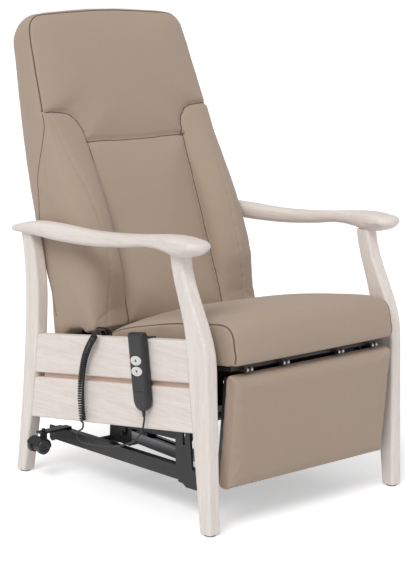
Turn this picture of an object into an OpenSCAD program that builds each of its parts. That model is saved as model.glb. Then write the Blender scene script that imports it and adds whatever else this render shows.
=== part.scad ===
// Powered patient recliner: bent wood side frames, padded seat, winged back and leg rest
// on a steel mechanism, with a castor chassis that is let down between the legs.
// X runs across the chair (the sitter's left is +X), Y to the rear, Z up from the floor.

/* [Wooden side frames] */
// Width over the outer faces of the legs
frame_w = 640; // [600:1:700]
// Thickness of a leg, across the chair
leg_t = 34.6; // [30:0.1:40]
// Thickness of a side rail
rail_t = 27; // [22:0.5:28]
// How far a side rail stands back from the outer face of the legs
rail_setback = 3; // [1:0.5:5]
// Height of the leg tops, where the armrest sits
leg_top = 634; // [610:1:660]
// Thickness of the glide under each leg
glide_t = 3; // [2:0.5:5]
// Radius of a glide
glide_r = 13; // [9:0.5:14]
// Depth of the front foot at the floor
foot_d = 35; // [30:1:45]
// Length from the front of the front feet to the rear of the rear feet
feet_span = 748; // [720:1:790]
// Height of an upper side rail
upper_rail_h = 97; // [85:1:99]
// Height of a lower side rail
lower_rail_h = 103; // [85:1:112]
// Slit between the two side rails
rail_slit = 12; // [8:1:20]
// Slope of the side rails and the seat, down to the rear
rake = 7.2; // [4:0.1:9]
// Half width of an armrest at its middle
arm_half_w = 22; // [18:0.5:25]
// Half width of the front end of an armrest
paw_half_w = 38; // [28:0.5:42]

/* [Seat] */
// Width of the seat cushion
seat_w = 517; // [480:1:524]
// Thickness of the seat cushion at its side seam
seat_t = 98; // [80:1:106]
// Rise of the seat's middle over its side seams
seat_crown = 24; // [10:1:30]
// Height of the seat cushion's lower front edge
seat_front_z = 388.5; // [384:0.5:400]
// How far the seat cushion stands out in front of the feet
seat_overhang = 20; // [16:1:26]
// Thickness of the seat board
board_t = 12; // [9:1:15]

/* [Back] */
// Lean of the back from upright, when it is raised
lean = 20.6; // [17:0.1:23]
// Length of the back from seat level to its top
back_len = 712; // [640:1:760]
// Half width of the back at its widest
back_half_w = 281; // [270:0.5:282]
// How much each side of the back draws in at the top
back_taper = 31; // [15:1:45]
// Depth of the back at its foot
back_d = 150; // [135:1:160]
// Depth of the back at its top
back_top_d = 89; // [80:1:110]
// How far the wings stand out in front of the back
wing_out = 48; // [20:1:56]
// Half width of the flat between the wings
lumbar_half_w = 155; // [135:1:170]
// How far the back reclines
recline_max = 35; // [20:1:35]

/* [Leg rest] */
// Height of the leg rest pad
pad_h = 273; // [240:1:280]
// Thickness of the leg rest pad in front of its board
pad_t = 36; // [30:1:40]
// Thickness of the leg rest board
leg_board_t = 12; // [9:1:15]
// Radius of the leg rest hinge pins
leg_pin_r = 3; // [2.5:0.1:3.5]

/* [Drive] */
// Radius of the leg rest crank
crank_r = 88; // [84:1:92]
// Radius of the crank pin and of the back lever's pin
drive_pin_r = 4; // [3:0.25:4.5]
// Thickness of the drive bar
drive_bar_t = 6; // [4:0.5:7]
// Width of the drive rail
drive_rail_w = 30; // [26:1:32]
// Height of the drive rail
drive_rail_h = 27; // [24:1:29]
// Radius of the motor can
motor_r = 24; // [20:0.5:26]

/* [Castor chassis] */
// How far the chassis is let down
chassis_drop = 67; // [50:1:67]
// Height of the wheels over the floor when the chassis is up
wheel_lift = 68; // [68:1:74]
// Radius of a castor wheel
wheel_r = 19; // [16:0.5:20]
// Tread width of one castor wheel
wheel_w = 13; // [10:0.5:14]
// Distance between the two wheels of a castor, centre to centre
wheel_gap = 38; // [36:0.5:42]
// Trail of a castor wheel behind its stem
trail = 15; // [12:0.5:17]
// Radius of a castor stem
stem_r = 5; // [4:0.25:6]
// Height of a chassis beam
beam_h = 34; // [28:1:36]
// Length of a lift arm between its pivots
lift_arm_l = 362; // [350:1:368]
// Height of a lift arm bar
lift_arm_h = 22; // [18:1:24]
// Radius of the lift arm pivot bolts
lift_pin_r = 5; // [4:0.25:6]

/* [Handset] */
// Length of the handset
handset_l = 184; // [170:1:195]
// Width of the handset
handset_w = 54; // [48:1:58]
// Thickness of the handset
handset_t = 19; // [17:0.5:21]
// Half length of a button
button_a = 19; // [16:0.5:20]
// Half height of a button
button_b = 11; // [9:0.5:11.5]
// Travel of a button
button_travel = 1.5; // [1:0.1:1.8]

/* [Handset cord] */
// Diameter of the cord
cord_d = 4.6; // [4:0.1:4.9]
// Outer diameter of the curls
curl_d = 17.4; // [16:0.1:18.5]
// Number of curls
curls = 38; // [30:1:40]

/* [Fits] */
// Clearance between soft pieces and their neighbours
soft_gap = 0.6; // [0.4:0.1:1]
// Clearance between wooden pieces at a joint
wood_gap = 0.2; // [0.1:0.05:0.4]
// Radial clearance of a pin in its hole
pin_fit = 0.06; // [0.02:0.01:0.1]
// Clearance between sliding plates
side_gap = 0.5; // [0.3:0.1:1]

/* [Hidden] */
$fn = 48;

// ---- helpers -------------------------------------------------------------------------
function clamp(t) = min(1, max(0, t));
function ease(t) = let (c = clamp(t)) c * c * (3 - 2 * c);
function mix(a, b, t) = a + (b - a) * t;
function signed_pow(v, e) = sign(v) * pow(abs(v), e);
function total(list) = [for (k = [0 : 2]) [for (v = list) v[k]] * [for (v = list) 1]];
function middle(ring) = total(ring) / len(ring);
function facing(ring) = let (c = middle(ring), n = len(ring))
    total([for (k = [0 : n - 1]) cross(ring[k] - c, ring[(k + 1) % n] - c)]);

// A closed skin through rings of equal length, with a fan over each end.
module loft(sections) {
    ahead = facing(sections[0]) * (middle(sections[1]) - middle(sections[0])) > 0;
    n = len(sections[0]);
    m = len(sections);
    rings = ahead ? sections : [for (r = sections) [for (k = [n - 1 : -1 : 0]) r[k]]];
    points = concat([for (r = rings) each r], [middle(rings[0]), middle(rings[m - 1])]);
    sides = [for (j = [0 : m - 2]) for (i = [0 : n - 1]) let (k = (i + 1) % n)
        each [[j * n + i, (j + 1) * n + i, (j + 1) * n + k], [j * n + i, (j + 1) * n + k, j * n + k]]];
    caps = [for (i = [0 : n - 1]) let (k = (i + 1) % n)
        each [[m * n, i, k], [m * n + 1, (m - 1) * n + k, (m - 1) * n + i]]];
    polyhedron(points, concat(sides, caps), convexity = 6);
}

// ---- places --------------------------------------------------------------------------
leg_x = frame_w / 2 - leg_t / 2;
leg_in = frame_w / 2 - leg_t;
rail_out = frame_w / 2 - rail_setback;
rail_in = rail_out - rail_t;
plate_t = 4;
plate_in = rail_in - plate_t;
seat_y0 = -seat_overhang;
rail_over_seat = 66;
rail_top_z = rail_over_seat;
rail_gap_z = rail_top_z - upper_rail_h;
rail_low_z = rail_gap_z - rail_slit;
rail_foot_z = rail_low_z - lower_rail_h;
back_y0 = 510;
back_z0 = 500;
pivot = [550, 370];
pivot_r = 6;
hinge = [-2, 374];
leg_lean = 5.8;
leg_max = 80;
leg_y0 = seat_y0;
leg_z0 = seat_front_z - 24.5;
pad_half_w = seat_w / 2 - 4;

// Heights of the seat's lower face and of the rails at a distance y from the front feet
function seat_low(y) = seat_front_z - (y - seat_y0) * tan(rake);
function on_seat(p) = [p[0], seat_y0 + p[1] * cos(rake) + p[2] * sin(rake),
    seat_front_z - p[1] * sin(rake) + p[2] * cos(rake)];
function on_back(p) = [p[0], back_y0 + p[1] * cos(lean) + p[2] * sin(lean),
    back_z0 - p[1] * sin(lean) + p[2] * cos(lean)];
function off_back(q) = let (dy = q[0] - back_y0, dz = q[1] - back_z0)
    [dy * cos(lean) - dz * sin(lean), dy * sin(lean) + dz * cos(lean)];
function on_leg(p) = [p[0], leg_y0 + p[1] * cos(leg_lean) - p[2] * sin(leg_lean),
    leg_z0 + p[1] * sin(leg_lean) + p[2] * cos(leg_lean)];
module at_seat() translate([0, seat_y0, seat_front_z]) rotate([-rake, 0, 0]) children();
module at_back() translate([0, back_y0, back_z0]) rotate([-lean, 0, 0]) children();
module at_leg() translate([0, leg_y0, leg_z0]) rotate([leg_lean, 0, 0]) children();
module centred() translate([0, -mid_y, 0]) children();
module both() { children(); mirror([1, 0, 0]) children(); }

// A plate of thickness t with its outline drawn in Y and Z, its near face at x
module side_plate(x, t) translate([x, 0, 0]) rotate([90, 0, 90]) linear_extrude(t) children();
// A rod along X from x0 to x1
module cross_rod(x0, x1, y, z, r) translate([x0, y, z]) rotate([0, 90, 0]) cylinder(r = r, h = x1 - x0);
// A straight bar in the plane, from p to q, w wide
module flat_bar(p, q, w) {
    d = (q - p) / norm(q - p) * w / 2;
    polygon([[p[0] - d[1], p[1] + d[0]], [p[0] + d[1], p[1] - d[0]],
        [q[0] + d[1], q[1] - d[0]], [q[0] - d[1], q[1] + d[0]]]);
}
// An upright slot with round ends, in the plane
module slot_2d(y, z0, z1, r) {
    translate([y - r, z0]) square([2 * r, z1 - z0]);
    translate([y, z0]) circle(r);
    translate([y, z1]) circle(r);
}
function corner_ring(x0, x1, y0, y1, r) = let (cx = [x1 - r, x0 + r, x0 + r, x1 - r],
    cy = [y1 - r, y1 - r, y0 + r, y0 + r])
    [for (k = [0 : 3]) for (a = [0, 45, 90]) [cx[k] + r * cos(90 * k + a), cy[k] + r * sin(90 * k + a)]];

// ---- wooden side frames -----------------------------------------------------------------
function front_fore(z) = let (u = z / leg_top) 17 * u + 81 * ease((u - 0.615) / 0.394);
function front_aft(z) = let (u = z / leg_top) foot_d + 71 * u + 32 * ease((u - 0.694) / 0.3);
function rear_fore(z) = let (u = z / leg_top)
    feet_span - 106 + (u < 0.741 ? 72 * pow(1 - u / 0.741, 1.55) : 29 * pow((u - 0.741) / 0.241, 2));
function rear_aft(z) = let (u = z / leg_top)
    feet_span - 54 + (u < 0.757 ? 54 * pow(1 - u / 0.757, 1.5) : 15 * pow((u - 0.757) / 0.224, 2));
leg_edge_r = 5;
leg_steps = 20;
// Outlines of a leg from step first up to its top, all round wider by gap
function leg_rings(is_rear, first = 0, gap = 0) = [for (k = [first : leg_steps])
    let (z = mix(glide_t, leg_top, k / leg_steps), y0 = is_rear ? rear_fore(z) : front_fore(z),
        y1 = is_rear ? rear_aft(z) : front_aft(z))
    [for (p = corner_ring(leg_in - gap, frame_w / 2 + gap, y0 - gap, y1 + gap, leg_edge_r)) [p[0], p[1], z]]];
module front_leg() loft(leg_rings(false));
module rear_leg() loft(leg_rings(true));
module front_leg_right() color("linen") centred() mirror([1, 0, 0]) front_leg();
module front_leg_left() color("linen") centred() front_leg();
module rear_leg_right() color("linen") centred() mirror([1, 0, 0]) rear_leg();
module rear_leg_left() color("linen") centred() rear_leg();

// Armrest: stations from the front, each [y, half width, top, underside] from the leg tops
arm_keys = [[20, paw_half_w - 3, 39, 14], [60, paw_half_w, 45, 3], [110, paw_half_w - 4, 48, -2],
    [160, arm_half_w + 4, 45, 6], [220, arm_half_w, 38, 8], [310, arm_half_w, 30, -4],
    [430, arm_half_w + 1, 25, -14], [560, arm_half_w + 2, 28, -16], [650, arm_half_w + 3, 25, -12],
    [745, arm_half_w + 3, 5, -9]];
arm_x = 310;
arm_front = 21;
arm_rear = 745;
arm_tip = 26;
function key_at(y, k = 0) = k + 2 >= len(arm_keys) || y < arm_keys[k + 1][0] ? k : key_at(y, k + 1);
function hermite(a, b, ma, mb, h, t) = a * (2 * t * t * t - 3 * t * t + 1) + ma * h * (t * t * t - 2 * t * t + t)
    + b * (3 * t * t - 2 * t * t * t) + mb * h * (t * t * t - t * t);
function key_slope(k) = let (a = arm_keys[max(0, k - 1)], b = arm_keys[min(len(arm_keys) - 1, k + 1)])
    (b - a) / (b[0] - a[0]);
function arm_at(y) = let (k = key_at(y), a = arm_keys[k], b = arm_keys[k + 1], h = b[0] - a[0])
    hermite(a, b, key_slope(k), key_slope(k + 1), h, (y - a[0]) / h);
function arm_end(y) = let (f = clamp((y - arm_front) / arm_tip), r = clamp((arm_rear - y) / arm_tip))
    sqrt(1 - pow(1 - f, 2)) * sqrt(1 - pow(1 - r, 2));
function arm_ring(y) = let (s = arm_at(y), e = max(0.12, arm_end(y)), zm = leg_top + (s[2] + s[3]) / 2,
    hz = (s[2] - s[3]) / 2 * mix(0.35, 1, e), hw = s[1] * e, scoop = 1 - 0.34 * ease((125 - y) / 70))
    [for (k = [0 : 15]) let (a = 22.5 * k, low = sin(a) < 0 ? mix(1, scoop, -sin(a)) : 1)
        [arm_x + hw * low * signed_pow(cos(a), 0.8), y, zm + hz * signed_pow(sin(a), 0.8)]];
arm_stations = concat([for (t = [0, 0.06, 0.2, 0.45]) arm_front + arm_tip * t],
    [for (k = [0 : 19]) mix(arm_front + 22, arm_rear - 22, k / 19)],
    [for (t = [0.45, 0.2, 0.06, 0]) arm_rear - arm_tip * t]);
module armrest() difference() {
    loft([for (y = arm_stations) arm_ring(y)]);
    for (is_rear = [false, true]) loft(leg_rings(is_rear, leg_steps - 2, wood_gap));
}
module armrest_right() color("linen") centred() mirror([1, 0, 0]) armrest();
module armrest_left() color("linen") centred() armrest();

// A side rail between the legs, from height z0 to z1 over the seat's lower face
function rail_profile(z0, z1) = let (c = corner_ring(rail_in, rail_out, z0, z1, 4))
    concat([for (k = [0 : 5]) c[k]], [for (t = [0.2 : 0.2 : 0.8]) mix(c[5], c[6], t)],
        [for (k = [6 : 11]) c[k]], [for (t = [0.2 : 0.2 : 0.8]) mix(c[11], c[0], t)]);
rail_end_gap = wood_gap + 0.7;
function rail_y(t, z) = mix(front_aft(z) + wood_gap, rear_fore(z) - rail_end_gap, t);
function rail_ring(t, z0, z1) = [for (p = rail_profile(z0, z1))
    let (h = p[1] / cos(rake), y0 = rail_y(t, 330), y1 = rail_y(t, seat_low(y0) + h), z = seat_low(y1) + h)
    [p[0], rail_y(t, z), z]];
module rail(z0, z1) loft([rail_ring(0, z0, z1), rail_ring(1, z0, z1)]);
bolt_r = 4;
bolt_y = [135, 250, 370];
bolt_z = 8;
module upper_rail() difference() {
    rail(rail_gap_z, rail_top_z);
    at_seat() for (y = bolt_y) cross_rod(rail_in - 1, rail_in + 20, y, bolt_z, bolt_r);
}
module upper_rail_right() color("linen") centred() mirror([1, 0, 0]) upper_rail();
module upper_rail_left() color("linen") centred() upper_rail();
module lower_rail_right() color("linen") centred() mirror([1, 0, 0]) rail(rail_foot_z, rail_low_z);
module lower_rail_left() color("linen") centred() rail(rail_foot_z, rail_low_z);
module rear_crossrail() color("linen") centred() {
    y0 = rear_fore(240) + 10;
    translate([-leg_in + wood_gap, 0, 0]) rotate([90, 0, 90]) linear_extrude(2 * (leg_in - wood_gap))
        polygon(corner_ring(y0, y0 + 27, 205, 275, 4));
}
module leg_glides() color("dimgray") centred() both()
    for (y = [foot_d / 2, (rear_fore(0) + rear_aft(0)) / 2]) translate([leg_x, y, 0]) cylinder(r = glide_r, h = glide_t);
module frame_bolts() color("silver") centred() both() at_seat() for (y = bolt_y) {
    cross_rod(plate_in - 5, plate_in, y, bolt_z, 6.5);
    cross_rod(plate_in - 1, rail_in + 19, y, bolt_z, bolt_r - pin_fit);
}

// ---- mechanism frame ----------------------------------------------------------------------
hinge_plate_x = 236;
hinge_plate_t = 5;
arm_plate_x = 251.5;
arm_plate_t = 6;
lift_swing = 2 * asin(chassis_drop / 2 / lift_arm_l);
post_pin = [172, 262];
post_pin_step = 40;
frame_pin = post_pin + [lift_arm_l * cos(lift_swing / 2), -lift_arm_l * sin(lift_swing / 2)];
tube_r = 12;
tube_wall = 2;
front_tube = [130, 330];
rear_tube = [455, 290];
module mechanism_side() difference() {
    union() {
        side_plate(plate_in, plate_t) difference() {
            union() {
                polygon([[100, seat_low(100) - 27], [100, seat_low(100) + 24],
                    [612, seat_low(612) + 24], [612, seat_low(612) - 27]]);
                polygon([[frame_pin[0] - 34, seat_low(500) - 20], [frame_pin[0] + 34, seat_low(560) - 20],
                    [frame_pin[0] + 14, frame_pin[1] - post_pin_step - 10],
                    [frame_pin[0] - 14, frame_pin[1] - post_pin_step - 10]]);
                flat_bar([rear_tube[0], seat_low(455)], rear_tube - [0, tube_r + 4], 36);
            }
        }
        at_seat() translate([246, 98, -board_t - plate_t]) cube([plate_in - 246 + 1, 272, plate_t]);
        cross_rod(hinge_plate_x + hinge_plate_t + side_gap, plate_in + 1, pivot[0], pivot[1], 12);
        for (k = [0, 1]) cross_rod(arm_plate_x + arm_plate_t + side_gap, plate_in + 1,
            frame_pin[0], frame_pin[1] - k * post_pin_step, 9);
    }
    cross_rod(hinge_plate_x, plate_in - 2, pivot[0], pivot[1], pivot_r + pin_fit);
    for (k = [0, 1]) cross_rod(arm_plate_x, plate_in - 2, frame_pin[0], frame_pin[1] - k * post_pin_step,
        lift_pin_r + pin_fit);
    at_seat() for (y = bolt_y) cross_rod(plate_in - 1, rail_in + 1, y, bolt_z, bolt_r);
}
module mechanism_side_right() color("dimgray") centred() mirror([1, 0, 0]) mechanism_side();
module mechanism_side_left() color("dimgray") centred() mechanism_side();
module mechanism_tubes() color("dimgray") centred() for (p = [front_tube, rear_tube]) difference() {
    cross_rod(-plate_in, plate_in, p[0], p[1], tube_r);
    cross_rod(-plate_in - 1, plate_in + 1, p[0], p[1], tube_r - tube_wall);
}
module pivot_bolts() color("silver") centred() both() {
    cross_rod(hinge_plate_x - 4.5, plate_in - 3, pivot[0], pivot[1], pivot_r);
    cross_rod(hinge_plate_x - 8, hinge_plate_x - 0.4, pivot[0], pivot[1], 10);
    for (k = [0, 1]) {
        cross_rod(arm_plate_x - 1, plate_in - 3, frame_pin[0], frame_pin[1] - k * post_pin_step, lift_pin_r);
        cross_rod(arm_plate_x - 5, arm_plate_x - 0.4, frame_pin[0], frame_pin[1] - k * post_pin_step, 8);
    }
}

// ---- seat -----------------------------------------------------------------------------------
board_half_w = 245;
seat_rear = 466;
function seat_edge(y) = seat_t - 16 * ease((y - 180) / 220) - 22 * pow(clamp((y - 360) / 106), 2);
seat_profile = concat(
    [[8, 0.3], [2.3, 2.6], [0, 8.3], [-1, 30], [0, 56]],
    [for (a = [0 : 15 : 90]) [44 - 44 * cos(a), seat_t - 40 + 40 * sin(a)]],
    [for (y = [80 : 40 : 440]) [y, seat_edge(y)]],
    [for (a = [60 : -30 : 0]) [seat_rear - 6 + 10 * cos(a), seat_edge(seat_rear) - 12 + 10 * sin(a)]],
    [[seat_rear + 2, 24], [seat_rear - 3, 4], [seat_rear - 8, 0.3]],
    [for (y = [380 : -80 : 60]) [y, 0.3]]);
function seat_swell(u) = pow(max(0, 1 - u * u), 0.75);
function seat_ring(u) = [for (p = seat_profile) on_seat([u * seat_w / 2,
    p[0] - 6 * seat_swell(u) * (1 - ease(p[0] / 40)) + (p[0] > seat_rear - 20 ? seat_crown * 0.238 * seat_swell(u) * ease(p[1] / 60) : 0),
    p[1] + seat_crown * seat_swell(u) * ease(p[1] / 60)])];
seat_stations = [1, 0.985, 0.94, 0.85, 0.7, 0.5, 0.25];
seat_rings = [for (u = concat(-1 * seat_stations, [0], [for (k = [6 : -1 : 0]) seat_stations[k]])) seat_ring(u)];
module seat_cushion() color("tan") centred() loft(seat_rings);
module seat_board() color("burlywood") centred() at_seat()
    translate([-board_half_w, 34, -board_t]) cube([2 * board_half_w, 416, board_t]);

// ---- back -------------------------------------------------------------------------------------
board_y = 46;
shell_y = board_y;
back_foot = -115;
foot_rise = 0.3;
seam_v = 370;
wing_top = 447;
function half_w(v) = v > 100 ? back_half_w - back_taper * pow((v - 100) / 600, 2)
    : back_half_w - 5 * pow((100 - v) / 200, 2);
function depth(v) = v > 200 ? back_d - (back_d - back_top_d) * (v - 200) / 500 : back_d;
top_r = 50;
// Half outline of the back from its foot up to the middle of its top, as [share of width, v]
back_side = concat([[0.55, back_foot], [0.9, back_foot], [0.985, back_foot + 6], [1, back_foot + 22]],
    [for (v = [-40 : 80 : 600]) [1, v]],
    [for (a = [0 : 15 : 90]) [1 - (1 - cos(a)) * top_r / 250, back_len - 12 - top_r + (top_r + 2) * sin(a)]],
    [[0.5, back_len - 4], [0.25, back_len - 1]]);
function mirrored(side) = concat(side, [for (k = [len(side) - 1 : -1 : 0]) [-side[k][0], side[k][1]]]);
back_outline = mirrored(back_side);
function panel_ring(t, inset) = [for (p = back_outline)
    let (v0 = p[1], y = mix(shell_y, depth(v0), t), foot = back_foot + foot_rise * y,
        v = v0 < 200 ? mix(foot, 200, (v0 - back_foot) / (200 - back_foot)) : v0)
    on_back([(p[0] * half_w(v0)) * (1 - inset / back_half_w), y, mix(v, 300, inset / 450)])];
panel_rings = [panel_ring(0, 1.5), panel_ring(0.06, 0), panel_ring(0.5, 0), panel_ring(0.8, 1),
    panel_ring(0.92, 5), panel_ring(0.985, 13), panel_ring(1, 24), panel_ring(1.02, 90), panel_ring(1.03, 170)];
back_board_t = 12;
iron_y = board_y + back_board_t + 0.6;
iron_slot = 30;
lever_x = -185 + drive_bar_t / 2 + side_gap;
lever_t = 6;
iron_top = 140;
lever_top = 100;
back_pivot = off_back(pivot);
module back_panel() color("tan") centred() difference() {
    loft(panel_rings);
    at_back() {
        translate([-board_half_w - 0.3, 0, -96]) cube([2 * board_half_w + 0.6, iron_y - 0.3, 752]);
        for (s = [[hinge_plate_x, hinge_plate_t, iron_top], [-hinge_plate_x - hinge_plate_t, hinge_plate_t, iron_top],
            [lever_x, lever_t, lever_top]])
            side_plate(s[0] - 0.5, s[1] + 1) polygon([[iron_y - 1, s[2] + 1], [iron_y - 1, -200],
                [back_pivot[0] + 16, -200], [back_pivot[0] + 16, back_pivot[1] + 6],
                [iron_y + iron_slot + 1, -58], [iron_y + iron_slot + 1, s[2] + 1]]);
    }
}
module back_board() color("burlywood") centred() at_back()
    translate([-board_half_w, board_y + 0.3, -95.5]) cube([2 * board_half_w, back_board_t, 751]);
module iron(x, t, top) at_back() side_plate(x, t) difference() {
    union() {
        polygon([[iron_y, top], [iron_y, -60], [back_pivot[0] - 14, back_pivot[1]],
            [back_pivot[0] + 14, back_pivot[1]], [iron_y + iron_slot, -60], [iron_y + iron_slot, top]]);
        translate(back_pivot) circle(14);
    }
    translate(back_pivot) circle(pivot_r + pin_fit);
}
module back_hinge_plates() color("dimgray") centred() both() iron(hinge_plate_x, hinge_plate_t, iron_top);

// ---- leg rest drive geometry: the drive bar slides, its two slots turn crank and lever ----
drive_x = -185;
crank_pin = hinge + [crank_r * sin(leg_max / 2), -crank_r * cos(leg_max / 2)];
stroke = 2 * crank_r * sin(leg_max / 2);
lever_r = stroke / 2 / sin(recline_max / 2);
lever_pin = pivot + [lever_r * sin(recline_max / 2), -lever_r * cos(recline_max / 2)];
rail_slope = 2.9;
slide_fall = stroke * tan(rail_slope);
crank_sag = crank_r * (1 - cos(leg_max / 2));
lever_sag = lever_r * (1 - cos(recline_max / 2));
slot_end = drive_pin_r + 0.6;
module back_lever() color("dimgray") centred() {
    difference() {
        union() {
            iron(lever_x, lever_t, lever_top);
            side_plate(lever_x, lever_t) {
                flat_bar(pivot, lever_pin, 22);
                translate(lever_pin) circle(11);
            }
        }
        cross_rod(lever_x - 1, lever_x + lever_t + 1, pivot[0], pivot[1], pivot_r + pin_fit);
    }
    cross_rod(drive_x - drive_bar_t / 2 - 3, lever_x + 1, lever_pin[0], lever_pin[1], drive_pin_r);
}

// Pads: a side wall from the board forward to the seam, then a crowned face
function pad_ring(outline, c, y, inset, crown = 0) = [for (p = outline)
    let (s = 1 - inset / norm(p - c)) on_back([c[0] + (p[0] - c[0]) * s, y - crown, c[1] + (p[1] - c[1]) * s])];
wing_steps = [20, 40, 56, 68, 76];
function wing_in(v) = let (t = clamp((v - seam_v) / (wing_top - seam_v)))
    lumbar_half_w + soft_gap + 60 * (1 - sqrt(1 - t * t));
head_side = concat([[60, seam_v + soft_gap], [110, seam_v + soft_gap], [lumbar_half_w - 4, seam_v + soft_gap]],
    [for (d = wing_steps) [wing_in(seam_v + d) - 2 * soft_gap, seam_v + d + soft_gap]],
    [[lumbar_half_w + 60, wing_top + soft_gap], [half_w(450) - 16, wing_top + soft_gap], [half_w(450) - 1, wing_top + 4]],
    [for (v = [500 : 50 : 600]) [half_w(v) - 2, v]],
    [for (a = [0 : 22.5 : 90]) [half_w(650) - top_r + (top_r - 2) * cos(a), back_len - 12 - top_r + top_r * sin(a)]],
    [[110, back_len - 5], [50, back_len - 1]]);
head_outline = mirrored(head_side);
head_c = [0, 555];
module head_cushion() color("tan") centred() loft([
    pad_ring(head_outline, head_c, board_y - soft_gap, 3), pad_ring(head_outline, head_c, 32, 0),
    pad_ring(head_outline, head_c, 17, 0), pad_ring(head_outline, head_c, 9, 3),
    pad_ring(head_outline, head_c, 4, 12), pad_ring(head_outline, head_c, 0, 30),
    pad_ring(head_outline, head_c, -4, 60), pad_ring(head_outline, head_c, -7, 100)]);
lumbar_side = [for (v = [0.5, 0.85]) [lumbar_half_w * v, back_foot + 10]];
lumbar_outline = mirrored(concat(lumbar_side,
    [for (v = [back_foot + 14, -60, 0, 80, 160, 240, 310, seam_v - 4]) [lumbar_half_w - soft_gap, v]],
    [for (s = [0.85, 0.5]) [lumbar_half_w * s, seam_v]]));
lumbar_c = [0, 130];
module lumbar_cushion() color("tan") centred() loft([
    pad_ring(lumbar_outline, lumbar_c, board_y - soft_gap, 2), pad_ring(lumbar_outline, lumbar_c, 20, 0),
    pad_ring(lumbar_outline, lumbar_c, 9, 1), pad_ring(lumbar_outline, lumbar_c, 4, 6),
    pad_ring(lumbar_outline, lumbar_c, -1, 20), pad_ring(lumbar_outline, lumbar_c, -6, 50),
    pad_ring(lumbar_outline, lumbar_c, -9, 90)]);

// A wing: cross sections from its foot to its rounded top, swelling forward
wing_foot = back_foot + 8;
function wing_swell(v) = wing_out * ease((v + 95) / 150) * (1 - ease((v - 130) / 320));
function wing_ring(v) = let (x0 = wing_in(v), x1 = half_w(v) - 0.5, b = wing_swell(v),
    e = min(1, sqrt(max(0.02, 1 - pow(clamp((v - wing_top + 25) / 25), 2)))), w = x1 - x0)
    [for (p = concat([[0, board_y - soft_gap], [0, 26], [0.0, 10]],
        [for (a = [20 : 20 : 160]) [0.5 - 0.5 * cos(a), 8 - (b + 8) * pow(sin(a * 0.9 + 8), 0.9) * e]],
        [[1, 18], [1, 34], [0.985, board_y - soft_gap]])) on_back([x0 + p[0] * w, p[1], v])];
module bolster() loft([for (v = concat([for (k = [0 : 11]) mix(wing_foot, seam_v, k / 11)],
    [for (d = concat(wing_steps, [wing_top - seam_v])) seam_v + d])) wing_ring(v)]);
module bolster_right() color("tan") centred() mirror([1, 0, 0]) bolster();
module bolster_left() color("tan") centred() bolster();

// ---- leg rest ---------------------------------------------------------------------------------
pad_profile = concat([for (a = [0 : 22.5 : 90]) [14 - 14 * cos(a), 14 * sin(a) - 14]],
    [[pad_t - 10, 0], [pad_t - 3, -3], [pad_t, -10], [pad_t, -140], [pad_t, 10 - pad_h], [pad_t - 4, 3 - pad_h],
    [pad_t - 12, -pad_h]], [for (a = [90 : -30 : 0]) [12 - 12 * cos(a), 12 - 12 * sin(a) - pad_h]],
    [for (z = [-220, -170, -120, -70]) [0, z]]);
function pad_swell(u, z) = 3 * seat_swell(u) * ease(-z / 30) * ease((pad_h + z) / 30);
function pad_ring_x(u) = let (e = u * u > 0.97 ? 1.5 : 0) [for (p = pad_profile)
    on_leg([u * pad_half_w, p[0] - pad_swell(u, p[1]) * (p[0] < 8 ? 1 : 0) + (p[0] < 8 ? e : 0), p[1]])];
module legrest_pad() color("tan") centred() loft([for (u = [-1, -0.98, -0.9, -0.7, -0.4, 0, 0.4, 0.7, 0.9, 0.98, 1]) pad_ring_x(u)]);
leg_back = pad_t + 0.3 + leg_board_t;
groove_d = leg_board_t * 0.72;
module legrest_board() color("burlywood") centred() at_leg() difference() {
    translate([4 - pad_half_w, pad_t + 0.3, 8 - pad_h]) cube([2 * pad_half_w - 8, leg_board_t, pad_h - 20]);
    // Groove that the drive bar's yoke passes through half way up
    translate([drive_x - drive_bar_t / 2 - 2, leg_back - groove_d, -90])
        cube([drive_bar_t + 4, groove_d + 1, 80]);
}
hinge_xs = [-205, -90, 90, 205];
knuckle_r = 6;
function off_leg(q) = let (dy = q[0] - leg_y0, dz = q[1] - leg_z0)
    [dy * cos(leg_lean) + dz * sin(leg_lean), -dy * sin(leg_lean) + dz * cos(leg_lean)];
leg_hinge = off_leg(hinge);
leg_crank = off_leg(crank_pin);
crank_cheek_t = 5;
module legrest_hinges() color("dimgray") centred() {
    at_leg() for (x = hinge_xs) difference() {
        side_plate(x - 3, 6) {
            translate(leg_hinge) circle(knuckle_r);
            polygon([[leg_hinge[0], 0.4], [pad_t - 9, 0.4], [pad_t - 1.5, -2.4], [leg_back, -11.5],
                [leg_back, -70], [leg_back + 5, -70], [leg_back + 5, -0.4], [leg_back, 0.9], [pad_t, 3.6],
                [leg_hinge[0] + 5, 6.5], [leg_hinge[0], 10]]);
        }
        cross_rod(x - 4, x + 4, leg_hinge[0], leg_hinge[1], leg_pin_r + pin_fit);
    }
    at_leg() for (x = [drive_x + drive_bar_t / 2 + side_gap, drive_x - drive_bar_t / 2 - side_gap - crank_cheek_t])
        side_plate(x, crank_cheek_t) {
            translate(leg_crank) circle(9);
            polygon([[leg_back, leg_crank[1] + 22], [leg_back, leg_crank[1] - 22],
                [leg_crank[0] + 2, leg_crank[1] - 8], [leg_crank[0] + 2, leg_crank[1] + 8]]);
        }
    cross_rod(drive_x - drive_bar_t / 2 - side_gap - crank_cheek_t, drive_x + drive_bar_t / 2 + side_gap + crank_cheek_t,
        crank_pin[0], crank_pin[1], drive_pin_r);
}
strap_t = 3.5;
function board_low(y) = seat_low(y) - board_t / cos(rake);
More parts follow.
